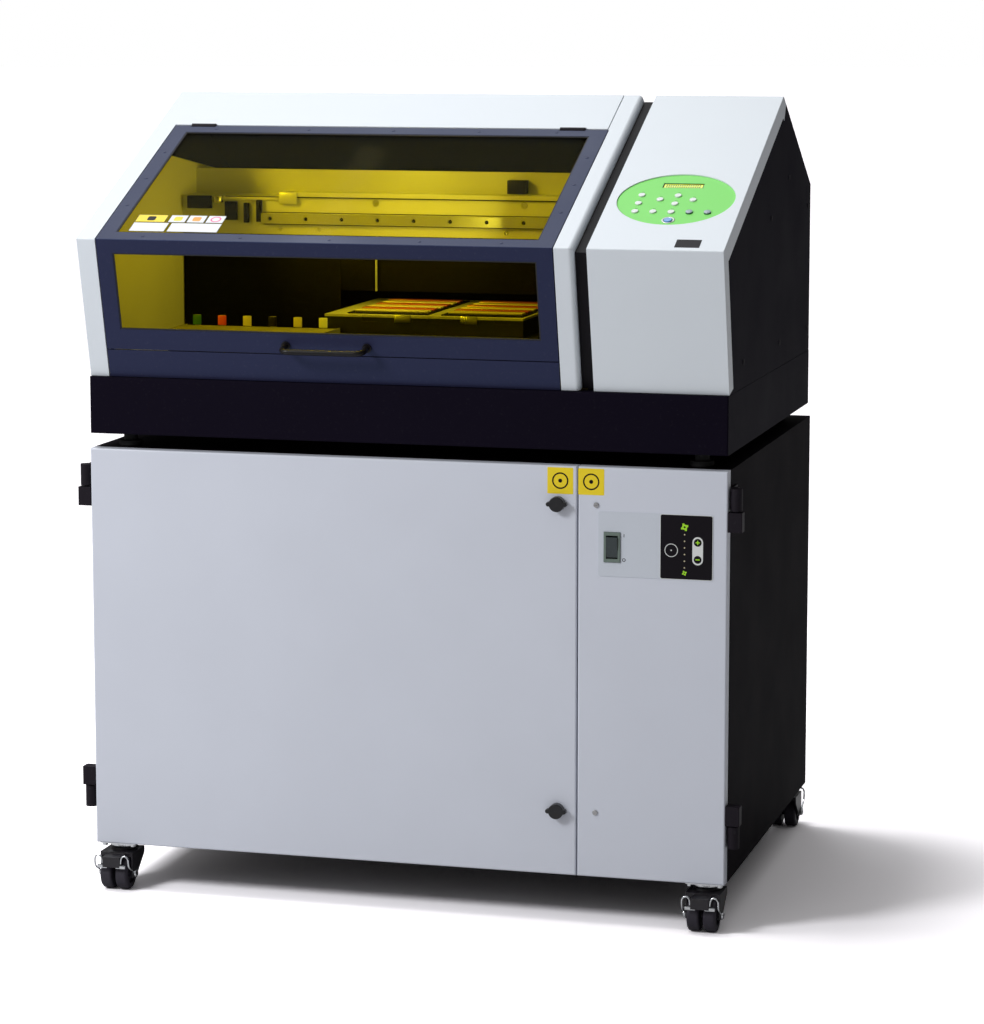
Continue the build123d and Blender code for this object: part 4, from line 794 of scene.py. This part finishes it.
partition = {
    "behind": (0.0005, 0.0025), "topGap": 0.0006,
    "spans": ((-0.4655, -0.200), (-0.200, 0.2700)),
    "overFloor": 0.004, "overTable": 0.018,
    "stripX": (-0.1395, -0.1377), "stripReach": (-0.0003, 0.006),
}
partitionTop = beamLow.z - partition["topGap"]
tableClear = tableHigh.z + partition["overTable"]
parts = [block("partition", (x0, beamFace + partition["behind"][0], z0),
               (x1, beamFace + partition["behind"][1], partitionTop), 0.0006)
         for (x0, x1), z0 in zip(partition["spans"], (chassisHigh.z + partition["overFloor"], tableClear))]
seat(join("backPartition", parts), "innerBlack", "housing")
edgeStrip = beamBlock("partitionEdge", partition["stripX"], partition["stripReach"],
                      (tableClear - beamLow.z, partitionTop - beamLow.z), 0.0004)
seat(edgeStrip, "beamAluminium", "housing")

fittings = {
    "washerX": (-0.343, -0.140, 0.104), "washerUp": 0.0525, "washer": (0.0056, 0.0012),
    "boltX": (-0.300, -0.235, 0.075), "boltUp": 0.0085, "bolt": (0.0036, 0.0011),
    "railUp": 0.02562, "railStart": 0.015, "railEnds": 0.02, "railPitch": 0.06, "railFace": 0.0060,
    "railBolt": (0.0031, 0.0035),
    # dark strips painted as the rail's shade: their distance from the rail's middle, half height and reach
    "shadeOut": 0.0095, "shadeHalf": 0.0006, "shadeReach": (0.0001, 0.0010),
}
parts = [screwHead("beamWasher", beamFrame, x, beamLow.z + fittings["washerUp"], *fittings["washer"])
         for x in fittings["washerX"]]
parts += [screwHead("beamBolt", beamFrame, x, beamLow.z + fittings["boltUp"], *fittings["bolt"])
          for x in fittings["boltX"]]
seat(join("beamScrews", parts), "steel", "housing")
railMidZ = beamLow.z + fittings["railUp"]
boltCount = int((railHigh.x - railLow.x - fittings["railEnds"]) / fittings["railPitch"]) + 1
boltX = railLow.x + fittings["railStart"]
parts = [screwHead("railBolt", beamFrame, boltX + n * fittings["railPitch"], railMidZ,
                   *fittings["railBolt"], base=fittings["railFace"]) for n in range(boltCount)]
for side in (-1, 1):  # dark strips above and below the rail, painted shade of the rail on the beam face
    up = fittings["railUp"] + side * fittings["shadeOut"]
    parts.append(beamBlock("railShadeStrip", (railLow.x, railHigh.x), fittings["shadeReach"],
                           (up - fittings["shadeHalf"], up + fittings["shadeHalf"]), 0.0002))
seat(join("railBoltsAndShadeStrips", parts), "rubberBlack", "housing")

# belt along the beam, set just under the cap so that its dark strip also paints the cap's shadow line; its
# left pulley, bracket plates and home sensor
drive = {
    "beltX": (-0.392, 0.440), "beltReach": (0.0030, 0.0040), "beltDown": (0.0420, 0.0402),
    "pulleyX": -0.402, "pulleyOut": 0.0110, "pulleyUp": 0.0500, "pulley": (0.0085, 0.0105),
    "brackets": (  # x span, reach, heights
        ((-0.455, -0.415), (0.0005, 0.012), (0.040, 0.0605)),
        ((-0.392, -0.372), (0.0005, 0.009), (0.022, 0.052)),
        ((-0.360, -0.352), (0.0005, 0.009), (0.018, 0.050)),
        ((-0.338, -0.330), (0.0005, 0.011), (0.020, 0.055)),
    ),
    "links": (
        ((-0.300, -0.270), (0.0055, 0.0085), (0.049, 0.068)),
        ((-0.440, -0.300), (0.0005, 0.004), (0.054, 0.0600)),
    ),
    "sensorX": (0.064, 0.094), "sensorBehind": (0.045, 0.0655), "sensorDown": (0.0335, 0.012),
}
beamHeight = beamHigh.z - beamLow.z
# the dark belt under the beam's cap is partly a real belt and partly the cap's painted shadow line
belt = beamBlock("carriageBeltShadeLine", drive["beltX"], drive["beltReach"],
                 [beamHeight - down for down in drive["beltDown"]], 0.0003)
seat(belt, "rubberBlack", "housing")
pulleyFrame = axesFrame((1, 0, 0), (0, 1, 0), (0, 0, 1), (0, beamFace - drive["pulleyOut"], 0))
pulley = disc("beltPulley", pulleyFrame, drive["pulleyX"], 0, *drive["pulley"],
              base=beamLow.z + drive["pulleyUp"], edge=0.0006, dish=0.001, rim=0.4, sides=28)
seat(pulley, "steel", "housing")
parts = [beamBlock("bracket", *spot) for spot in drive["brackets"]]
seat(join("beamBrackets", parts), "innerBlack", "housing")
parts = [beamBlock("plateBracket", *spot) for spot in drive["links"]]
seat(join("beamLink", parts), "beamAluminium", "housing")
sensor = beamBlock("homeSensor", drive["sensorX"], [-behind for behind in reversed(drive["sensorBehind"])],
                   [beamHeight - down for down in drive["sensorDown"]])
seat(sensor, "innerBlack", "housing")

# pieces lying on the table, in two rows on thin carriers, and the clips along its front
samples = {
    "rows": (-0.062, 0.088), "count": 6, "first": 0.035, "pitch": 0.036,
    "width": 0.118, "depth": 0.022, "top": 0.0045, "edge": 0.0012,
    "carrier": (0.130, 0.240, 0.0015), "carrierUp": 0.135,
}
orange, cream, carriers = [], [], []
for rowX in samples["rows"]:
    carriers.append(plate("carrier", tableFrame, rowX, samples["carrierUp"], *samples["carrier"],
                          corner=0.003, edge=0.0003))
    for n in range(samples["count"]):
        y = samples["first"] + n * samples["pitch"]
        kind = orange if n % 2 else cream
        kind.append(block("sample", (rowX - samples["width"] / 2, y, samples["carrier"][2]),
                          (rowX + samples["width"] / 2, y + samples["depth"], samples["top"]),
                          samples["edge"], tableFrame))
seat(join("sampleCarriers", carriers), "innerBlack", "table")
seat(join("samplesOrange", orange), "sampleOrange", "table")
seat(join("samplesCream", cream), "sampleCream", "table")
clips = {"x": (-0.033, 0.0725), "half": 0.013, "y": (-0.0015, 0.0012), "z": (-0.0105, 0.0012), "edge": 0.0006}
parts = [block("clip", (x - clips["half"], clips["y"][0], clips["z"][0]),
               (x + clips["half"], clips["y"][1], clips["z"][1]), clips["edge"], tableFrame)
         for x in clips["x"]]
seat(join("tableClips", parts), "steel", "table")

# coloured tags on the cartridges' tabs
tags = {
    "looks": ("tagGreen", "tagRed", "sampleCream", "inkBlack", "sampleCream", "labelWhite"),
    "first": 0.017, "pitch": 0.041, "half": 0.0065, "back": (0.0125, 0.0098), "down": (0.0150, 0.0002),
}
inkLow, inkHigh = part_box("ink_cartridges")
for n, look in enumerate(tags["looks"]):
    x = inkLow.x + tags["first"] + n * tags["pitch"]
    tag = block(f"inkTag_{n}", (x - tags["half"], inkHigh.y - tags["back"][0], inkHigh.z - tags["down"][0]),
                (x + tags["half"], inkHigh.y - tags["back"][1], inkHigh.z - tags["down"][1]), 0.0005)
    seat(tag, look, "housing")
print("chamber dressed")

castor = {
    "wire": 0.0014, "wireInset": 0.0030, "innerX": 0.0150, "ahead": 0.0290,
    "kneeAhead": 0.010, "kneeUp": 0.006, "lean": 0.001,
    "low": 0.0400, "high": 0.0580, "topRise": 0.0005, "end": 0.0460,
    "padHalf": 0.008, "padDepth": 0.003, "padZ": (0.0385, 0.0440),
    "nutRadius": 0.0062, "nutLength": 0.0042, "edge": 0.0008,
}
for corner in ("front_left", "front_right", "rear_left", "rear_right"):
    swivel = Vector(joints["swivel_" + corner]["pos_m"])
    axle = Vector(joints["roll_" + corner]["pos_m"])
    ahead = -1 if axle.y < swivel.y else 1
    forkLow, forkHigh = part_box("castor_fork_" + corner)
    halfWidth = (forkHigh.x - forkLow.x) / 2
    front = axle.y + ahead * castor["ahead"]
    leant = front + ahead * castor["lean"]
    padYs = sorted((front, front + ahead * castor["padDepth"]))
    nutPlace = axesFrame((0, 1, 0), (0, 0, 1), (1, 0, 0), axle)
    parts = []
    for side in (-1, 1):
        outer = axle.x + side * (halfWidth - castor["wireInset"])
        inner = axle.x + side * castor["innerX"]
        points = [(outer, axle.y, axle.z),
                  (outer, axle.y + ahead * castor["kneeAhead"], axle.z + castor["kneeUp"]),
                  (outer, front, castor["low"]), (outer, leant, castor["high"]),
                  (inner, leant, castor["high"] + castor["topRise"]), (inner, leant, castor["end"])]
        parts.append(wire("bailWire", points, castor["wire"]))
        parts.append(block("bailPad", (inner - castor["padHalf"], padYs[0], castor["padZ"][0]),
                           (inner + castor["padHalf"], padYs[1], castor["padZ"][1]), castor["edge"]))
        nutBase = halfWidth - castor["nutLength"] if side > 0 else -halfWidth
        parts.append(disc("axleNut", nutPlace, 0, 0, castor["nutRadius"], castor["nutLength"], base=nutBase,
                          edge=castor["edge"], sides=24))
    seat(join("brakeBail_" + corner, parts), "chrome", "fork_" + corner)
print("castors dressed")

screws = {
    "head": (0.0042, 0.0014),
    "side": ((0.305, 0.845), (0.305, 1.045), (0.06, 0.845), (-0.235, 0.845), (0.13, 1.10), (-0.02, 1.045)),
    "rearX": (-0.46, -0.2, 0.05, 0.46), "rearUp": 0.012,
    "cabinetX": (-0.48, 0.0, 0.48), "cabinetInset": 0.03,
}
spots = [("sideScrew", rightFrame, y, z) for y, z in screws["side"]]
spots += [("sideScrew", leftFrame, -y, z) for y, z in screws["side"]]
spots += [("rearScrew", rearFrame, x, rearLow.z + screws["rearUp"]) for x in screws["rearX"]]
spots += [("cabinetScrew", cabinetRearFrame, x, z) for x in screws["cabinetX"]
          for z in (cabinetLow.z + screws["cabinetInset"], cabinetHigh.z - screws["cabinetInset"])]
seat(join("coverScrews", [screwHead(*spot, *screws["head"]) for spot in spots]), "hingeBlack", "housing")

inlet = {
    "size": (0.048, 0.058, 0.004), "corner": 0.004, "edge": 0.0008, "hole": 0.010,
    "pin": (0.002, 0.0065, 0.003), "pinEdge": 0.0003, "pins": ((-0.007, -0.003), (0, 0.005), (0.007, -0.003)),
    "printer": (-0.08, 0.055), "cabinet": (-0.40, 0.09),  # x, height above the cover's lower edge
}
for label, place, low in (("printer", rearFrame, rearLow), ("cabinet", cabinetRearFrame, cabinetLow)):
    x, z = inlet[label][0], low.z + inlet[label][1]
    surround = plate(f"powerInlet_{label}", place, x, z, *inlet["size"], corner=inlet["corner"],
                     edge=inlet["edge"], hole=inlet["hole"])
    seat(surround, "latchBlack", "housing")
    parts = [plate("inletPin", place, x + dx, z + dz, *inlet["pin"], edge=inlet["pinEdge"])
             for dx, dz in inlet["pins"]]
    seat(join(f"inletPins_{label}", parts), "steel", "housing")
dataPort = {"spot": (-0.02, 0.050), "size": (0.017, 0.0155, 0.0025), "corner": 0.001, "edge": 0.0004,
            "hole": 0.0028}
port = plate("dataPort", rearFrame, dataPort["spot"][0], rearLow.z + dataPort["spot"][1], *dataPort["size"],
             corner=dataPort["corner"], edge=dataPort["edge"], hole=dataPort["hole"])
seat(port, "steel", "housing")
print("outside dressed")

floorLooks = {
    "radius": 60.0, "sides": 96, "drop": 0.0002,
    "colour": (0.58, 0.575, 0.585),
    "cameraColour": (1.85, 1.80, 1.85),  # brighter to the camera, so that it meets the white surround
}
deselectAll()
bpy.ops.mesh.primitive_circle_add(vertices=floorLooks["sides"], radius=floorLooks["radius"], fill_type="NGON",
                                  location=(0, 0, -floorLooks["drop"]))
floor = bpy.context.object
floor.name = "studioFloor"
floorPaint = bpy.data.materials.new("floorPale")
floorPaint.use_nodes = True
floorTree = floorPaint.node_tree
floorShade = floorTree.nodes.new("ShaderNodeBsdfDiffuse")
floorPath = floorTree.nodes.new("ShaderNodeLightPath")
floorTone = mixColour(floorTree, floorPath.outputs["Is Camera Ray"], floorLooks["colour"],
                      floorLooks["cameraColour"])
floorTree.links.new(floorTone, floorShade.inputs["Color"])
floorTree.links.new(floorShade.outputs[0], floorTree.nodes["Material Output"].inputs["Surface"])
floor.data.materials.append(floorPaint)

sky = {"towards": (-0.47, -0.12, 0.87), "from": -0.25, "to": 1.0, "low": 0.0, "high": 0.46}
world = bpy.data.worlds.new("studioWorld")
bpy.context.scene.world = world
world.use_nodes = True
worldTree = world.node_tree
background = worldTree.nodes["Background"]
background.inputs["Strength"].default_value = 1.0
rayPath = worldTree.nodes.new("ShaderNodeLightPath")
direction = worldTree.nodes.new("ShaderNodeTexCoord")
turned = worldTree.nodes.new("ShaderNodeVectorMath")
turned.operation = "DOT_PRODUCT"
turned.inputs[1].default_value = sky["towards"]
worldTree.links.new(direction.outputs["Generated"], turned.inputs[0])
ramp = worldTree.nodes.new("ShaderNodeMapRange")
ramp.interpolation_type = "SMOOTHSTEP"
for label, key in (("From Min", "from"), ("From Max", "to"), ("To Min", "low"), ("To Max", "high")):
    ramp.inputs[label].default_value = sky[key]
worldTree.links.new(turned.outputs["Value"], ramp.inputs["Value"])
seen = mixColour(worldTree, rayPath.outputs["Is Camera Ray"], ramp.outputs[0], (1.0, 1.0, 1.0))
worldTree.links.new(seen, background.inputs["Color"])


def hangLight(name, kind, place, aim, colour, strength, **settings):
    lamp = bpy.data.lights.new(name, kind)
    lamp.energy = strength
    lamp.color = colour
    for label, value in settings.items():
        setattr(lamp, label, value)
    holder = bpy.data.objects.new(name, lamp)
    bpy.context.scene.collection.objects.link(holder)
    holder.location = place
    holder.rotation_mode = "QUATERNION"
    holder.rotation_quaternion = (Vector(aim) - Vector(place)).to_track_quat("-Z", "Y")


hangLight("overheadSoftbox", "SUN", (-1.25, 0.10, 4.0), (0, 0, 0.4), (1.0, 1.0, 1.0), 1.18,
          angle=math.radians(20))
hangLight("frontSoftbox", "AREA", (-1.9, -2.4, 2.3), (-0.2, -0.3, 0.5), (0.97, 0.98, 1.0), 54,
          shape="DISK", size=1.0)
hangLight("backSoftbox", "AREA", (-0.95, 1.5, 3.65), (-0.1, -0.2, 1.1), (0.93, 0.97, 1.0), 19,
          shape="DISK", size=2.2)
hangLight("chamberStrip", "AREA", (-0.10, -0.036, 1.150), (-0.12, -0.030, 1.0), (1.0, 0.98, 0.90), 0.17,
          shape="RECTANGLE", size=0.62, size_y=0.05)
hangLight("chamberFill", "AREA", (0.02, -0.22, 1.04), (-0.46, -0.08, 1.10), (1.0, 0.97, 0.90), 0.50,
          shape="DISK", size=0.16)

cameraPlace = {"position": (1.450889, -5.147068, 1.386653), "turn": 15.252, "tilt": 7.724,
               "lens": 118.558, "shift": -0.0586, "sensor": 36, "reach": 200}
cameraData = bpy.data.cameras.new("camera")
camera = bpy.data.objects.new("camera", cameraData)
bpy.context.scene.collection.objects.link(camera)
camera.location = cameraPlace["position"]
camera.rotation_euler = (math.radians(90 - cameraPlace["tilt"]), 0, math.radians(cameraPlace["turn"]))
cameraData.sensor_width = cameraPlace["sensor"]
cameraData.lens = cameraPlace["lens"]
cameraData.shift_y = cameraPlace["shift"]
cameraData.clip_end = cameraPlace["reach"]
bpy.context.scene.camera = camera
bpy.context.scene.view_settings.view_transform = "Standard"
print("stage set")
